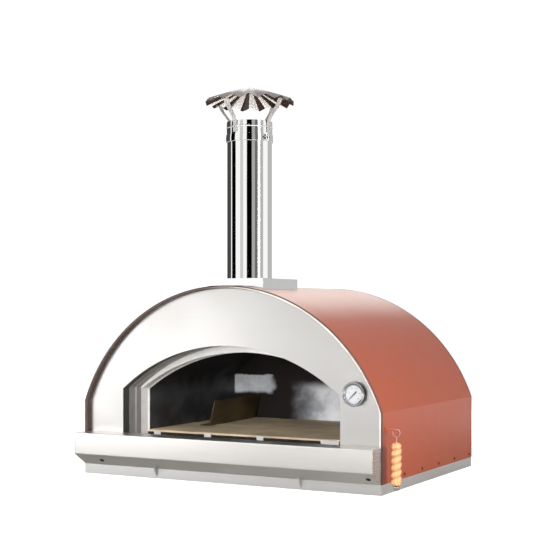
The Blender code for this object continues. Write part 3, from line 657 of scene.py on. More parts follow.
def plate(name, outlines, y_front, y_back, material, edge=0.0005):
    """A flat plate facing the front, cut to outlines in (x, z), with eased edges."""
    curve = poly_curve(name, [[(x, z, 0.0) for x, z in outline] for outline in outlines], "2D", True)
    curve.fill_mode = "BOTH"
    curve.extrude = (y_back - y_front) / 2
    obj = add_object(name, curve, material)
    obj.rotation_euler.x = radians(90)
    obj.location.y = (y_front + y_back) / 2
    obj = settle(obj)
    obj.data.transform(obj.matrix_world)
    obj.matrix_world = Matrix.Identity(4)
    bevel(obj, edge)
    return settle(obj)


def turned(name, profile, material, centre=(0, 0, 0), direction=(0, 0, 1), closed=False, steps=128):
    """A piece turned from (radius, height) points, whose own +Z points along direction from centre."""
    bm = bmesh.new()
    rows = []
    for radius, z in profile:
        ring = circle((0.0, 0.0), radius, steps) if radius > 1e-7 else [(0.0, 0.0)]
        rows.append([bm.verts.new((x, y, z)) for x, y in ring])
    bridge(bm, rows + rows[:1] if closed else rows, closed=True)
    bmesh.ops.transform(bm, matrix=pointing(direction, centre), verts=bm.verts)
    return settle(from_bmesh(name, bm, material))


def tube(name, points, radius, material):
    """A bent rod through the points, with filled ends."""
    curve = poly_curve(name, [points], "3D", False)
    curve.bevel_depth = radius
    curve.bevel_resolution = 6
    curve.use_fill_caps = True
    return settle(add_object(name, curve, material))


def join(obj, other):
    """Merge the other mesh into obj."""
    bm = bmesh.new()
    for piece in (obj, other):
        piece.data.transform(piece.matrix_world)
        bm.from_mesh(piece.data)
    obj.matrix_world = Matrix.Identity(4)
    bm.to_mesh(obj.data)
    bm.free()
    bpy.data.objects.remove(other, do_unlink=True)
    smooth(obj.data)
    return obj


def dress(node, material, edge=0.0, segments=2):
    """Give a CAD node its finish and, where it has flat faces, eased edges."""
    obj = frame["nodes"][node]
    for index in range(len(obj.data.materials)):
        obj.data.materials[index] = material
    drop_custom_normals(obj.data)
    weld = obj.modifiers.new("Weld", "WELD")
    weld.merge_threshold = 0.00001
    if edge:
        bevel(obj, edge, segments)
    smooth(obj.data)
    even_normals(obj)


# ---- casing and face
CASING_FOOT = low("outer_casing").z
CASING_BACK = high("outer_casing").y


def folded_rails(arch, profile, radius):
    """Rails of one arch from a profile of (offset, depth) corners, with rounded folds."""
    return [(arch, offset, FRONT_Y + depth) for offset, depth in rounded(profile, radius)]


def casing_shell():
    """The painted vault with its folded lip and the hole for the duct."""
    fold = 0.0022
    lip_height = 0.008
    hem = 0.006
    end = CASING_BACK - FRONT_Y - 0.0008
    profile = [(-lip_height, hem), (-lip_height, fold), (0.0, fold), (0.0, end)]
    rails = folded_rails(CASING_ARCH, profile, fold)
    shell = arch_sheet("casing_shell", CASING_FOOT, rails, TERRACOTTA, thickness=0.0018)
    duct_low, duct_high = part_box("smoke_duct")
    above = Vector((0, 0, 0.2))
    cutter = box_mesh("duct_cutter", duct_low, duct_high + above, TERRACOTTA)
    fit(cut_out(shell, [cutter], sharp=14.0), "terracotta", "outer_casing")


def trim(name, profile, material):
    """A thin strip over the casing's arch, through (offset, y) corners."""
    rails = [(CASING_ARCH, offset, y) for offset, y in profile]
    strip = arch_sheet(name, CASING_FOOT, rails, material, thickness=0.0005)
    fit(settle(strip, sharp=24.0), "brushed")


def casing_trims():
    """Rolled strips over the casing's two edges; the front one lines the recess."""
    proud = 0.0006
    inward = 0.0090
    nose = 0.0045
    centre = ((proud - inward) / 2, FRONT_Y + nose)
    roll = arc(centre, ((proud + inward) / 2, -nose), 0, 180, 8)
    nose_from = 3
    front = [(proud, FRONT_Y + 0.0062), (proud, FRONT_Y + nose), *roll[:nose_from + 1]]
    trim("front_trim", front, FRONT_TRIM)
    trim("front_trim_nose", [*roll[nose_from:], (-inward, PANEL_Y - 0.0004)], NOSE_TRIM)
    end = CASING_BACK - 0.0002
    rear = [(proud, end - 0.0058), (proud, end - 0.0010), (-0.0004, end), (-0.0040, end)]
    trim("rear_trim", rear, REAR_TRIM)


def panel_outline(arch, node):
    """The outline of a panel that follows an arch at the distance its box tells."""
    return arch_outline(arch, low(node).z, high(node).x - arch.half_width)


def panel(name, outlines, material, slot_name, node):
    """A flat panel, as thick and as deep in the oven as its CAD node."""
    fit(plate(name, outlines, low(node).y, high(node).y, material), slot_name, node)


def front_face():
    """The recessed stainless panel round the mouth."""
    mouth = arch_outline(MOUTH_ARCH, high("floor_tile_front_left").z)
    stem = middle("thermometer_case")
    stem_clearance = 0.0045
    stem_hole = circle((stem.x, stem.z), stem_clearance, 32)
    outlines = [panel_outline(CASING_ARCH, "front_panel"), mouth, stem_hole]
    panel("front_face", outlines, FACE_STEEL, "brushed", "front_panel")


def back_face():
    """The painted rear panel."""
    outline = panel_outline(CASING_ARCH, "rear_panel")
    panel("back_face", [outline], TERRACOTTA, "terracotta", "rear_panel")


def screw_at(name, node, centre, direction, radius, proud):
    """A pan-head screw with a cross recess, blackened by heat."""
    neck = radius * 0.45
    sunk = -0.004
    dome = arc((0.0, proud * 0.3), (radius, proud * 0.7), 90, -90, 6)
    profile = [*dome, (radius, 0.0), (neck, 0.0), (neck, sunk), (0.0, sunk)]
    head = turned(name, profile, DARK_STEEL, steps=32)
    arm = radius * 0.62
    slim = radius * 0.13
    cutters = []
    for x, y in ((arm, slim), (slim, arm)):
        corners = ((-x, -y, proud * 0.55), (x, y, proud * 2))
        cutters.append(box_mesh(name + "_cut", *corners, DARK_STEEL))
    head = cut_out(head, cutters)
    head.data.transform(pointing(direction, centre))
    fit(head, "screw", node)


def side_screws():
    for side, sign in SIDES:
        for index in range(1, 6):
            node = f"casing_screw_{side}_{index}"
            centre = middle(node)
            centre.x = sign * CASING_ARCH.half_width
            name = f"side_screw_{side}_{index}"
            screw_at(name, node, centre, (sign, 0, 0), radius=0.0045, proud=0.0026)


# ---- ledge
def ledge():
    """The folded shelf: top, front band and sloping underside, with its end cheeks and screws."""
    first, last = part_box("front_ledge")
    top = last.z
    band_height = 0.0723
    recess_gap = 0.0065
    cheek_gap = 0.0023
    fold = 0.0035
    band_bottom = top - band_height
    band_front = (first.y, band_bottom)
    section = [(last.y, top), (first.y, top), band_front, (FRONT_Y, first.z)]
    rows = []
    for y, z in rounded(section, fold, steps=5):
        in_recess = y > FRONT_Y - 0.0005 and z > band_bottom
        half = last.x - (recess_gap if in_recess else cheek_gap)
        rows.append([(-half, y, z), (half, y, z)])
    shelf = settle(sheet_between("ledge_shelf", rows[::-1], LEDGE_STEEL))
    bevel(shelf, 0.0004)
    fit(settle(shelf), "brushed", "front_ledge")
    joint = FRONT_Y - 0.0004
    cheek = rounded([(joint, top), (first.y, top), band_front, (joint, first.z)], fold, steps=5)
    for side, sign in SIDES:
        ledge_stud(side, band_front, (FRONT_Y + 0.0006, first.z))
        bm = bmesh.new()
        push_out(bm, [(sign * last.x, y, z) for y, z in cheek], (-sign * SHEET, 0, 0))
        end = from_bmesh(f"ledge_cheek_{side}", bm, CHEEK_STEEL)
        bevel(end, 0.0004)
        fit(settle(end), "brushed")


def ledge_stud(side, start, end):
    """A dark screw head seated on the underside, which slopes from start to end in (y, z)."""
    slope = (Vector(end) - Vector(start)).normalized()
    node = f"ledge_screw_{side}"
    seat = middle(node)
    seat.z = start[1] + (seat.y - start[0]) * slope.y / slope.x
    outwards = (0.0, slope.y, -slope.x)
    screw_at(f"ledge_stud_{side}", node, seat, outwards, radius=0.0078, proud=0.0030)


# ---- reveal and chamber
def reveal_sheet(name, profile, material):
    rails = folded_rails(MOUTH_ARCH, profile, 0.0012)
    return arch_sheet(name, low("mouth_tunnel").z, rails, material, inside=True)


def reveal():
    """The lining between the panel and the chamber, with its creases and smoke slot."""
    start = low("mouth_tunnel").y - FRONT_Y
    end = high("mouth_tunnel").y - FRONT_Y
    join_at = 0.058
    crease = 0.0015
    front = [(0.0, start), (0.0, 0.036), (crease, 0.038), (crease, join_at)]
    # the front strip takes the painted-shade steel
    strip = reveal_sheet("reveal_front_strip", front, REVEAL_SHADE_STEEL)
    fit(settle(strip, sharp=14.0), "brushed", "mouth_tunnel")
    profile = [
        (0.0, join_at), (0.0, 0.066), (REVEAL_FOLD, 0.070), (REVEAL_FOLD, 0.096), (0.0, 0.100),
        (0.0, end),
    ]
    lining = reveal_sheet("reveal_lining", profile, REVEAL_STEEL)
    duct_low, duct_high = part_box("smoke_duct")
    wall = Vector((SHEET, SHEET, 0.0))
    below = Vector((0, 0, 0.1))
    cutter = box_mesh("slot_cutter", duct_low + wall - below, duct_high - wall, REVEAL_STEEL)
    fit(cut_out(lining, [cutter], sharp=14.0), "brushed", "mouth_tunnel")


def inner_frame():
    """The stepped frame that the chamber's mouth closes against, with a bright hemmed lip."""
    foot = low("inner_arch_frame").z
    front = low("inner_arch_frame").y
    back = high("inner_arch_frame").y
    flange = 0.008
    lip = 0.0095
    step = 0.0012
    hem = 0.0004
    rails = [(MOUTH_ARCH, flange, front), (INNER_ARCH, 0.0, front), (INNER_ARCH, 0.0, back - lip)]
    rails += [(INNER_ARCH, -step, back - lip + 0.001), (INNER_ARCH, -step, back)]
    piece = arch_sheet("inner_mouth_frame", foot, rails, FRAME_STEEL, inside=True)
    fit(settle(piece, sharp=14.0), "brushed", "inner_arch_frame")
    rails = [(INNER_ARCH, -step - hem, back - lip), (INNER_ARCH, -step - hem, back)]
    rails.append((INNER_ARCH, 0.0014, back + hem))
    strip = arch_sheet("inner_mouth_hem", foot, rails, LIP_STEEL, inside=True, thickness=hem)
    fit(settle(strip, sharp=40.0), "brushed")


def chamber():
    """The soot-stained vault and the back wall behind the fire."""
    rails = [(CHAMBER_ARCH, 0.0, end.y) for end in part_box("chamber_vault")]
    vault = arch_sheet("vault_lining", low("chamber_vault").z, rails, SOOTY, inside=True)
    fit(settle(vault, sharp=14.0), "sooty", "chamber_vault")
    outline = panel_outline(CHAMBER_ARCH, "chamber_back_wall")
    panel("back_lining", [outline], BACK_WALL_PAINTED_REFLECTION, "sooty", "chamber_back_wall")


def floor_tiles():
    """Each tile takes its own shade of clay, and its edges are worn round."""
    shades = {
        "front_left": (0.72, 0.57, 0.39),
        "front_right": (0.66, 0.52, 0.35),
        "rear_left": (0.60, 0.47, 0.31),
        "rear_right": (0.62, 0.49, 0.33),
    }
    for place, tint in shades.items():
        dress(f"floor_tile_{place}", fireclay(f"fireclay_{place}", tint), edge=0.0016, segments=3)


def cad_finishes():
    """The CAD nodes whose shape is already right: boxes, folded plates and hidden layers."""
    finishes = {
        "base_frame": (BASE_STEEL, 0.0006),
        # painted shade: the rail's black stands in for the shaded gap under the front tiles' edge
        "floor_rail": (SOOT_AND_SHADE_BLACK, 0.0008),
        "vestibule_floor": (SOOT_AND_SHADE_BLACK, 0.0004),
        "log_guard": (GUARD_STEEL, 0.0006),
        "smoke_duct": (SOOT_AND_SHADE_BLACK, 0.0),
        "flue_box": (BOX_STEEL, 0.0008),
        "flue_spigot": (BOX_STEEL, 0.0),
        "sole_insulation": (BOARD, 0.0015),
        "vault_insulation": (WOOL, 0.0),
        "rear_insulation": (WOOL, 0.0),
        "thermometer_stem": (ROD_STEEL, 0.0),
        "ledge_bracket_left": (BASE_STEEL, 0.0003),
        "ledge_bracket_right": (BASE_STEEL, 0.0003),
    }
    for node, (material, edge) in finishes.items():
        dress(node, material, edge)
    for index in range(1, 5):
        dress(f"floor_clip_{index}", FRAME_STEEL, 0.0007)


# ---- flue
AXIS_X = middle("flue_pipe").x
AXIS_Y = middle("flue_pipe").y
FLUE_AXIS = Vector((AXIS_X, AXIS_Y, 0.0))
PIPE_RADIUS = half_width("flue_pipe")


def flue_ring(name, profile):
    """A fine turned ring or tube round the flue's axis."""
    return turned(name, profile, PIPE_STEEL, FLUE_AXIS, closed=True, steps=192)


def flue_tube():
    """The polished pipe with a chamfered foot and a lapped seam down its back."""
    bottom = low("flue_pipe").z
    top = high("flue_pipe").z
    wall = 0.0012
    chamfer = 0.0004
    seam_half = 0.005
    below_collar = 0.028
    inner = PIPE_RADIUS - wall
    pipe = flue_ring("flue_tube", [
        (PIPE_RADIUS, top), (PIPE_RADIUS, bottom + 0.0006), (PIPE_RADIUS - chamfer, bottom),
        (inner, bottom), (inner, top),
    ])
    seam = box_mesh(
        "flue_seam",
        (AXIS_X - seam_half, AXIS_Y + inner, bottom + 0.001),
        (AXIS_X + seam_half, AXIS_Y + PIPE_RADIUS + 0.0004, top - below_collar),
        PIPE_STEEL,
    )
    bevel(seam, 0.0003)
    fit(settle(seam), "polished", body="flue")
    fit(pipe, "polished", "flue_pipe", body="flue")


def collar_sleeve():
    """The sleeve over the pipe's top, with a rolled bead below its rim."""
    first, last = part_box("cap_collar")
    inner = half_width("cap_collar") - 0.0024
    outer = inner + 0.0012
    bead_z = last.z - 0.019
    bead_half = 0.003
    bead_proud = 0.0012
    profile = [(outer, last.z - 0.0008), (outer, bead_z + 0.004)]
    for step in range(9):
        share = step / 8
        z = bead_z + bead_half * (1 - 2 * share)
        profile.append((outer + bead_proud * sin(pi * share), z))
    profile += [(outer, bead_z - 0.004), (outer, first.z), (inner, first.z), (inner, last.z)]
    profile.append((outer - 0.0004, last.z))
    fit(flue_ring("collar_sleeve", profile), "polished", "cap_collar", body="flue")


LUG_TURN = Matrix.Rotation(radians(-17.8), 4, "Z")


def clamp_band():
    """The clamp ring with its rounded edges and its two folded lugs."""
    bottom = low("locking_band").z
    top = high("locking_band").z
    inner = PIPE_RADIUS + 0.0019
    outer = inner + 0.0016
    crown = outer + 0.0006
    section = [
        (outer, top), (crown, (top + bottom) / 2), (outer, bottom), (inner, bottom), (inner, top)
    ]
    band = flue_ring("clamp_band", rounded(section, 0.0008, closed=True))
    lug_half = 0.0009
    for y in (-0.0045, 0.0045):
        lug = box_mesh(
            "clamp_lug",
            (inner + 0.001, y - lug_half, bottom + 0.003),
            (outer + 0.0080, y + lug_half, top - 0.003),
            PIPE_STEEL,
        )
        bevel(lug, 0.0006)
        lug = settle(lug)
        lug.data.transform(Matrix.Translation(FLUE_AXIS) @ LUG_TURN)
        band = join(band, lug)
    fit(band, "polished", "locking_band", body="flue")


def clamp_bolt():
    """The hexagon-headed bolt that draws the two lugs together."""
    start = 0.0075
    end = -0.013
    head = [(0.0, 0.0115), (0.0034, 0.0115), (0.0040, 0.0109), (0.0040, start), (0.0, start)]
    shank = [(0.0, start), (0.002, start), (0.002, end + 0.0005), (0.0015, end), (0.0, end)]
    bolt = join(
        turned("clamp_bolt", head, SCREW, steps=6), turned("clamp_shank", shank, SCREW, steps=24)
    )
    bolt.data.transform(pointing(LUG_TURN @ Vector(FORWARD), middle("band_bolt")))
    fit(bolt, "screw", "band_bolt", body="flue")


def cap_struts():
    """Flat straps that rise from the collar and flare out in a curve under the cap."""
    collar_radius = half_width("cap_collar")
    for index in range(4):
        node = f"cap_strut_{index + 1}"
        first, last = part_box(node)
        path = rounded([
            (collar_radius + 0.0006, first.z),
            (collar_radius + 0.0008, last.z - 0.0640),
            (collar_radius + 0.0407, last.z - 0.0180),
            (collar_radius + 0.0482, last.z - 0.0012),
            (collar_radius + 0.0577, last.z - 0.0006),
        ], 0.022, steps=10)
        strap = strap_along(f"strut_strap_{index + 1}", path, 0.0075, 0.0115, 0.0018)
        turn = Matrix.Rotation(radians(-8.5 + 90 * index), 4, "Z")
        strap.data.transform(Matrix.Translation(FLUE_AXIS) @ turn)
        fit(strap, "polished", node, body="flue")


def strap_along(name, path, half_start, half_end, thickness):
    """A strap along (radius, height) points in the XZ plane that widens towards its end."""
    bm = bmesh.new()
    rows = []
    last = len(path) - 1
    for index, (radius, z) in enumerate(path):
        half = half_start + (half_end - half_start) * index / last
        along = Vector(path[min(index + 1, last)]) - Vector(path[max(index - 1, 0)])
        along.normalize()
        normal = Vector((along.y, -along.x)) * thickness / 2
        rows.append([
            bm.verts.new((radius + side * normal.x, width, z + side * normal.y))
            for side, width in ((1, -half), (1, half), (-1, half), (-1, -half))
        ])
    bridge(bm, rows, closed=True)
    bm.faces.new(rows[0])
    bm.faces.new(rows[-1])
    strap = from_bmesh(name, bm, STRUT_STEEL)
    bevel(strap, 0.0004)
    return settle(strap)


PLEATS = 16
CAP_TURN = radians(5.6)
# the bearing that the cap's painted shade is laid out from
SHADE_BEARING = radians(28.5)


def paint_flank_shade(cap):
    """Give one flank of each pleat's underside painted shade, and both flanks away from the shade bearing.
    """
    hub_reach = 0.035
    for face in cap.data.polygons:
        x, y, _ = face.center
        bearing = atan2(y, x)
        phase = (bearing + CAP_TURN) * PLEATS / (2 * pi) % 1.0
        smoky = cos(bearing - SHADE_BEARING)
        shaded_flank = phase > 0.66 - 0.14 * smoky or phase < -0.34 * smoky
        if face.material_index == 1 and shaded_flank and hypot(x, y) > hub_reach:
            face.material_index = 2


def pleated_cap():
    """The fan of pressed pleats: crisp ridges that fade into a domed hub, with a cut rim."""
    apex = high("rain_cap").z
    widest = half_width("rain_cap")
    drop = 0.050
    hub = 0.012
    pleat_depth = 0.0125
    around = 8
    rings = 14
    bm = bmesh.new()
    rows = []
    for ring in range(rings + 1):
        share = ring / rings
        row = []
        for step in range(PLEATS * around):
            wave = 1 - 4 * abs(step % around / around - 0.5)
            crisp = copysign(abs(wave) ** 0.85, wave)
            reach = widest * (1 - 0.020 * (0.5 + 0.5 * crisp) * share ** 6)
            radius = hub + (reach - hub) * share
            angle = 2 * pi * step / (PLEATS * around) - CAP_TURN
            z = apex - drop * share ** 1.04 + 0.5 * pleat_depth * crisp * share ** 1.15 - 0.0006
            row.append(bm.verts.new((radius * cos(angle), radius * sin(angle), z)))
        rows.append(row)
    bm.faces.new(rows[0])
    bridge(bm, rows, closed=True)
    cap = from_bmesh("pleated_cap", bm, CAP_STEEL, CAP_INSIDE, CAP_SHADE_STEEL)
    sheet = thicken(cap, 0.0010)
    sheet.material_offset = 1
    sheet.material_offset_rim = 2
    cap = settle(cap, sharp=16.0)
    paint_flank_shade(cap)
    cap.location = FLUE_AXIS
    bpy.context.view_layer.update()
    fit(cap, "polished", "rain_cap", body="flue")


def cap_rivet():
    seat = low("cap_rivet").z
    radius = half_width("cap_rivet")
    dome = [(0.0, 0.0038), (0.0030, 0.0035), (0.0050, 0.0024), (radius, 0.0004)]
    head = turned("cap_rivet_head", [*dome, (radius, 0.0), (0.0, 0.0)], LIP_STEEL,
                  (AXIS_X, AXIS_Y, seat), steps=40)
    fit(head, "polished", "cap_rivet", body="flue")


# ---- thermometer
GAUGE_AXIS = Vector((middle("thermometer_case").x, PANEL_Y, middle("thermometer_case").z))
SCALE_START = 225
SCALE_SWEEP = -270
MARK_Y = PANEL_Y - 0.00525


def gauge_piece(name, profile, material, slot_name, node, closed=False):
    """A turned piece of the thermometer, from (radius, height off the panel) points."""
    piece = turned(name, profile, material, GAUGE_AXIS, FORWARD, closed)
    fit(piece, slot_name, node)


def gauge_case():
    """The cup, made black as painted shade for its dark side wall, open to the front and pierced for the
    stem.
    """
    outer = half_width("thermometer_case")
    inner = outer - 0.0025
    back = 0.0003
    floor_top = 0.0020
    front = 0.0121
    ease = 0.0003
    stem_hole = 0.0036
    profile = [
        (stem_hole, floor_top), (inner, floor_top), (inner, front - ease), (inner + ease, front),
        (outer - ease, front), (outer, front - ease), (outer, back + 0.0004),
        (outer - 0.0004, back), (stem_hole, back),
    ]
    gauge_piece("gauge_case", profile, CASE_SHADE_BLACK, "polished", "thermometer_case", closed=True)


def gauge_bezel():
    """The rolled ring that holds the glass."""
    seat = 0.0121
    bore = 0.0286
    outer = half_width("thermometer_bezel")
    roll = arc((0.0342, 0.0135), (0.0029, 0.0022), 180, -180, 12)
    profile = [(bore, seat), (bore, seat + 0.0006), *roll, (outer, seat + 0.0008), (outer, seat)]
    gauge_piece("gauge_bezel", profile, CHROME, "polished", "thermometer_bezel", closed=True)


def gauge_dial_and_glass():
    """The enamelled disc and the slightly domed pane over it."""
    rim = half_width("thermometer_dial")
    front = 0.0051
    back = 0.0044
    disc = [(0.0, front), (rim - 0.0004, front), (rim, front - 0.0003), (rim, back), (0.0, back)]
    gauge_piece("gauge_dial", disc, DIAL, "dial", "thermometer_dial")
    edge = half_width("thermometer_glass")
    dome = [(0.0, 0.0118), (0.012, 0.0117), (0.024, 0.0114)]
    pane = [*dome, (edge, 0.0110), (edge, 0.0100), (0.0, 0.0108)]
    gauge_piece("gauge_glass", pane, GLASS, "glass", "thermometer_glass")


def dial_ticks():
    """The scale: an arc of ticks, longer and wider at each hundred."""
    count = 25
    outer = 0.0285
    bm = bmesh.new()
    for tick in range(count + 1):
        turn = Matrix.Rotation(radians(SCALE_START + SCALE_SWEEP * tick / count), 2)
        inner, half = (0.0235, 0.00035) if tick % 5 == 0 else (0.0262, 0.00012)
        corners = []
        for corner in ((inner, -half), (inner, half), (outer, half), (outer, -half)):
            x, z = turn @ Vector(corner)
            corners.append((GAUGE_AXIS.x + x, MARK_Y, GAUGE_AXIS.z + z))
        push_out(bm, corners, (0, 0.0001, 0))
    fit(from_bmesh("dial_ticks", bm, INK), "needle")


def dial_numbers():
    """Plain numbers inside the scale, one at each hundred."""
    places = arc((GAUGE_AXIS.x, GAUGE_AXIS.z), (0.0185, 0.0185), SCALE_START, SCALE_SWEEP, 5)
    for count, (x, z) in enumerate(places):
        text = bpy.data.curves.new(f"dial_number_{count}", "FONT")
        text.body = str(count * 100)
        text.size = 0.0050
        text.extrude = 0.00006
        text.align_x = "CENTER"
        text.align_y = "CENTER"
        label = add_object(f"dial_number_{count}", text, INK)
        label.location = (x, MARK_Y, z)
        label.rotation_euler.x = radians(90)
        fit(settle(label), "needle")


def pointer():
    """The tapered needle at its lowest reading, with a counterweight and a round hub."""
    tip, tip_half = 0.0240, 0.0008
    hub_half = 0.0020
    tail, tail_half = -0.0115, 0.0026
    tail_end = -0.0125
    thin = 0.0003
    blade = [
        (tip, tip_half), (0.0, hub_half), (tail, tail_half), (tail_end, 0.0),
        (tail, -tail_half), (0.0, -hub_half), (tip, -tip_half),
    ]
    turn = Matrix.Rotation(radians(SCALE_START), 2)
    turned_blade = [turn @ Vector(point) for point in blade]
    outline = [(GAUGE_AXIS.x + point.x, GAUGE_AXIS.z + point.y) for point in turned_blade]
    y = middle("thermometer_needle").y
    needle = plate("gauge_needle", [outline], y - thin, y + thin, NEEDLE, 0.0001)
    hub = [(0.0, 0.0007), (0.0018, 0.0006), (0.0028, 0.0002), (0.0030, -0.0007), (0.0, -0.0007)]
    boss = turned("needle_boss", hub, NEEDLE, (GAUGE_AXIS.x, y, GAUGE_AXIS.z), FORWARD, steps=32)
    fit(join(needle, boss), "needle", "thermometer_needle", body="needle")


# ---- hanging tool
TOOL_X = middle("tool_eye").x
TOOL_Y = middle("tool_eye").y


def tool_hook():
    """A painted rod, bent from a small round plate on the casing to an upturned end."""
    first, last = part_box("tool_hook")
    rod = 0.0020
    plate_radius = 0.0100
    z = first.z + plate_radius
    root_y = FRONT_Y + 0.034
    route = [
        (first.x + 0.001, root_y, z), (TOOL_X, root_y, z), (TOOL_X, FRONT_Y - 0.0082, z),
        (TOOL_X, FRONT_Y - 0.0080, last.z - rod),
    ]
    hook = tube("hook_rod", rounded(route, 0.008, steps=8), rod, TERRACOTTA)
    disc = [(0.0, 0.0032), (0.0024, 0.0030), (0.0032, 0.0024), (0.0034, 0.0022), (0.0094, 0.0022)]
    disc += [(plate_radius, 0.0017), (plate_radius, 0.0), (0.0, 0.0)]
    base = turned("hook_base", disc, TERRACOTTA, (first.x, root_y, z), (1, 0, 0), steps=48)
    fit(join(hook, base), "brushed", "tool_hook")


def tool_eye():
    """The wire ring that the tool hangs by, on a short shank."""
    first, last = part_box("tool_eye")
    wire = 0.0018
    shank_wire = 0.0021
    ring = 0.0112
    ring_z = last.z - ring - wire
    loop = [(x, TOOL_Y, z) for x, z in arc((TOOL_X, ring_z), (ring, ring), 90, 360, 48)]
    eye = tube("eye_ring", loop, wire, HOOK_STEEL)
    shank = [(TOOL_X, TOOL_Y, ring_z - ring + 0.0004), (TOOL_X, TOOL_Y, first.z)]
    neck = tube("eye_shank", shank, shank_wire, HOOK_STEEL)
    fit(join(eye, neck), "brushed", "tool_eye", body="tool")


def twisted_handle():
    """A round handle cut with a slow spiral groove, as a barley twist, with painted shade in the groove and
    domed ends.
    """
    bottom = low("tool_handle").z
    length = high("tool_handle").z - bottom
    radius = half_width("tool_handle")
    groove = 0.0026
    turns = 6.2
    dome_length = 0.012
    plain_end = 0.010
    rows, around = 220, 72

    def swirl(share, angle):
        return cos(2 * pi * turns * share - angle)

    bm = bmesh.new()
    mesh_rows = []
    for row in range(rows + 1):
        share = row / rows
        end = min(share, 1 - share) * length
        dome = sqrt(max(0.0, 1 - (1 - min(end / dome_length, 1.0)) ** 2))
        body = radius * (0.97 + 0.03 * sin(pi * share))
        calm = min(1.0, max(0.0, (end - plain_end) / plain_end))
        points = []
        for step in range(around):
            angle = 2 * pi * step / around
            hollow = groove * calm * (0.5 - 0.5 * swirl(share, angle)) ** 1.6
            reach = max((body - hollow) * dome, 0.0004)
            place = (TOOL_X + reach * cos(angle), TOOL_Y + reach * sin(angle), bottom + length * share)
            points.append(bm.verts.new(place))
        mesh_rows.append(points)
    bridge(bm, mesh_rows, closed=True)
    bm.faces.new(mesh_rows[0])
    bm.faces.new(mesh_rows[-1])
    handle = from_bmesh("twist_handle", bm, WOOD, GROOVE_SHADE_WOOD)
    # painted shade: faces deep in the groove take the darker wood
    for face in handle.data.polygons:
        share = (face.center.z - bottom) / length
        angle = atan2(face.center.y - TOOL_Y, face.center.x - TOOL_X)
        if 0.12 < share < 0.88 and swirl(share, angle) < -0.35:
            face.material_index = 1
    fit(settle(handle, sharp=60.0), "wood", "tool_handle", body="tool")


def tool_ferrule():
    """The steel cup that closes the handle's foot."""
    bottom = low("tool_ferrule").z
    tall = high("tool_ferrule").z - bottom
    cup = [(0.0, tall), (0.0104, tall), (0.0108, tall * 0.8), (0.0100, tall * 0.28), (0.0060, 0.0)]
    profile = rounded([*cup, (0.0, 0.0)], 0.0012)
    ferrule = turned("ferrule_cup", profile, ROD_STEEL, (TOOL_X, TOOL_Y, bottom), steps=64)
    fit(ferrule, "brushed", "tool_ferrule", body="tool")


# ---- studio
CAMERA_YAW = radians(28.505)


def camera():
    """A level camera whose lens is shifted up, so that upright edges stay upright."""
    data = bpy.data.cameras.new("Camera")
    data.sensor_width = 36.0
    data.lens = 79.9
    data.shift_y = 0.0609
    viewer = bpy.data.objects.new("Camera", data)
    SCENE.collection.objects.link(viewer)
    viewer.location = (2.007, -3.748, 0.5597)
    viewer.rotation_euler = (radians(90), 0.0, CAMERA_YAW)
    SCENE.camera = viewer


def world():
    """A white studio with a few tall dark flats, which the bright metal mirrors as stripes."""
    # (bearing, half width, top elevation, brightness), bearings in degrees from the camera's side
    flats = (
        (-137.0, 28.0, 58.0, 0.06),
        (-88.0, 13.0, 40.0, 0.0),
        (-40.5, 8.0, 40.0, 0.62),
        (-1.0, 13.0, 40.0, 0.0),
        (19.5, 7.5, 40.0, 0.42),
        (34.5, 7.5, 40.0, 0.15),
        (64.5, 8.5, 40.0, 0.48),
        (132.0, 27.0, 50.0, 0.50),
    )
    side_fade = 1.2
    top_fade = 6.0
    studio = bpy.data.worlds.new("Studio")
    SCENE.world = studio
    studio.use_nodes = True
    sky = Shader(studio.node_tree, "Background")
    _, direction = sky.node("ShaderNodeTexCoord", "Generated")
    turn, turned_direction = sky.node("ShaderNodeVectorRotate", Vector=direction, Angle=-CAMERA_YAW)
    turn.rotation_type = "Z_AXIS"
    way = sky.split(turned_direction)
    bearing = sky.maths("ARCTAN2", way["X"], sky.maths("MULTIPLY", way["Y"], -1.0))
    elevation = sky.maths("ARCSINE", way["Z"])
    light = 1.0
    for centre, half, top, shade in flats:
        away = sky.maths("ABSOLUTE", sky.maths("SUBTRACT", bearing, radians(centre)))
        beside = sky.spread(away, radians(half - side_fade), radians(half + side_fade), 1.0, 0.0)
        above = sky.spread(elevation, radians(top - top_fade), radians(top + top_fade), 1.0, 0.0)
        dark = sky.maths("MULTIPLY", sky.maths("MULTIPLY", beside, above), 1.0 - shade)
        light = sky.maths("MULTIPLY", light, sky.maths("SUBTRACT", 1.0, dark))
    path, seen = sky.node("ShaderNodeLightPath", "Is Camera Ray")
    level = sky.spread(path.outputs["Is Diffuse Ray"], 0.0, 1.0, 1.08, 0.20)
    sky.put("Strength", sky.maths("MAXIMUM", sky.maths("MULTIPLY", light, level), seen))
    sky.put("Color", (1.0, 1.0, 1.0))


def soft_lamp(name, bearing, elevation, distance, size, power, aim=(0.2, -0.1, 0.35)):
    """A soft lamp, (width, height) across, at a bearing round from the camera's side."""
    data = bpy.data.lights.new(name, "AREA")
    data.shape = "RECTANGLE"
    data.size, data.size_y = size
    data.energy = power
    lamp = bpy.data.objects.new(name, data)
    SCENE.collection.objects.link(lamp)
    turn = radians(bearing) + CAMERA_YAW
    flat = distance * cos(radians(elevation))
    away = Vector((flat * sin(turn), -flat * cos(turn), distance * sin(radians(elevation))))
    lamp.location = Vector(aim) + away
    lamp.rotation_euler = (-away).to_track_quat("-Z", "Y").to_euler()
    lamp.visible_glossy = False
    return lamp


def mirrored_card(name, *place, **aim):
    """A lamp that only shows up as a reflection in the metal."""
    card = soft_lamp(name, *place, **aim)
    card.visible_glossy = True
    card.visible_diffuse = False


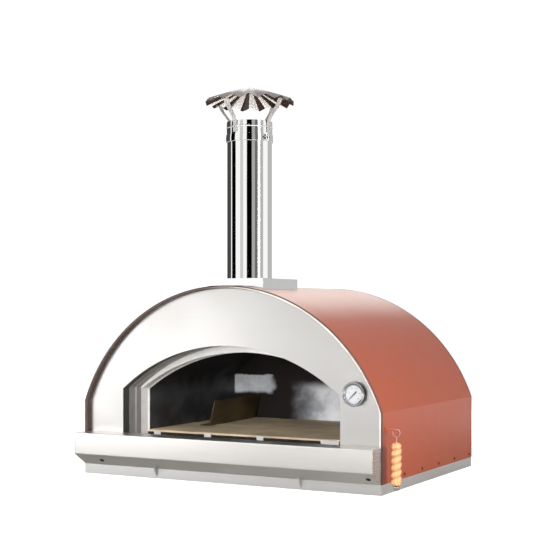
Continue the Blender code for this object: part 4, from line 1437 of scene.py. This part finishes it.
def floor():
    """A pale floor that fades into the white round it, and shows darker in the metal near the oven, as
    painted shade.
    """
    ground = Material("pale_floor", roughness=0.75)
    pale = ground.mix(ground.noise(1.5), (0.93, 0.93, 0.925), (0.95, 0.95, 0.945))
    far = ground.spread(ground.length(ground.position()), 0.9, 2.6)
    path, mirrored = ground.node("ShaderNodeLightPath", "Is Glossy Ray")
    # painted shade: glossy rays see the floor darker near the oven, and it glows less there, standing in for
    # the shadow round the base
    shaded = ground.maths("MULTIPLY", mirrored, ground.spread(far, 0.0, 1.0, 1.0, 0.15))
    ground.colour(shaded, pale, (0.30, 0.295, 0.285))
    ground.put("Emission Color", (1.0, 1.0, 1.0))
    glow = ground.maths("MULTIPLY", far, ground.maths("SUBTRACT", 1.0, shaded))
    seen = ground.maths("MULTIPLY", path.outputs["Is Camera Ray"], 0.80)
    ground.put("Emission Strength", ground.maths("MAXIMUM", ground.maths("MULTIPLY", glow, 0.6), seen))
    bm = bmesh.new()
    bmesh.ops.create_circle(bm, cap_ends=True, segments=96, radius=30.0)
    slab = from_bmesh("studio_floor", bm, ground.material)
    slab.location.z = -0.0005


PIECES = (
    casing_shell, casing_trims, front_face, back_face, side_screws, ledge,
    reveal, inner_frame, chamber, floor_tiles, cad_finishes,
    flue_tube, collar_sleeve, clamp_band, clamp_bolt, cap_struts, pleated_cap, cap_rivet,
    gauge_case, gauge_bezel, gauge_dial_and_glass, dial_ticks, dial_numbers, pointer,
    tool_hook, tool_eye, twisted_handle, tool_ferrule,
)
# (name, bearing, elevation, distance, size, power)
LAMPS = (
    ("side_lamp", 41.0, 12.0, 3.2, (0.45, 0.45), 86.0),
    ("key_lamp", 10.0, 14.0, 3.2, (0.8, 0.8), 12.0),
    ("mouth_lamp", -22.0, 10.0, 2.6, (0.8, 0.8), 78.0),
    ("back_lamp", 168.0, 34.0, 3.4, (1.4, 1.0), 60.0),
)
for make in PIECES:
    make()
floor()
world()
camera()
for lamp_values in LAMPS:
    soft_lamp(*lamp_values)
mirrored_card("panel_card", -64.8, 0.0, 1.5, (1.2, 0.62), 3.6, aim=(-0.45, -0.38, 0.33))
mirrored_card("edge_card", 45.0, 28.0, 3.0, (0.24, 3.0), 36.0)
SCENE.view_settings.view_transform = "Standard"
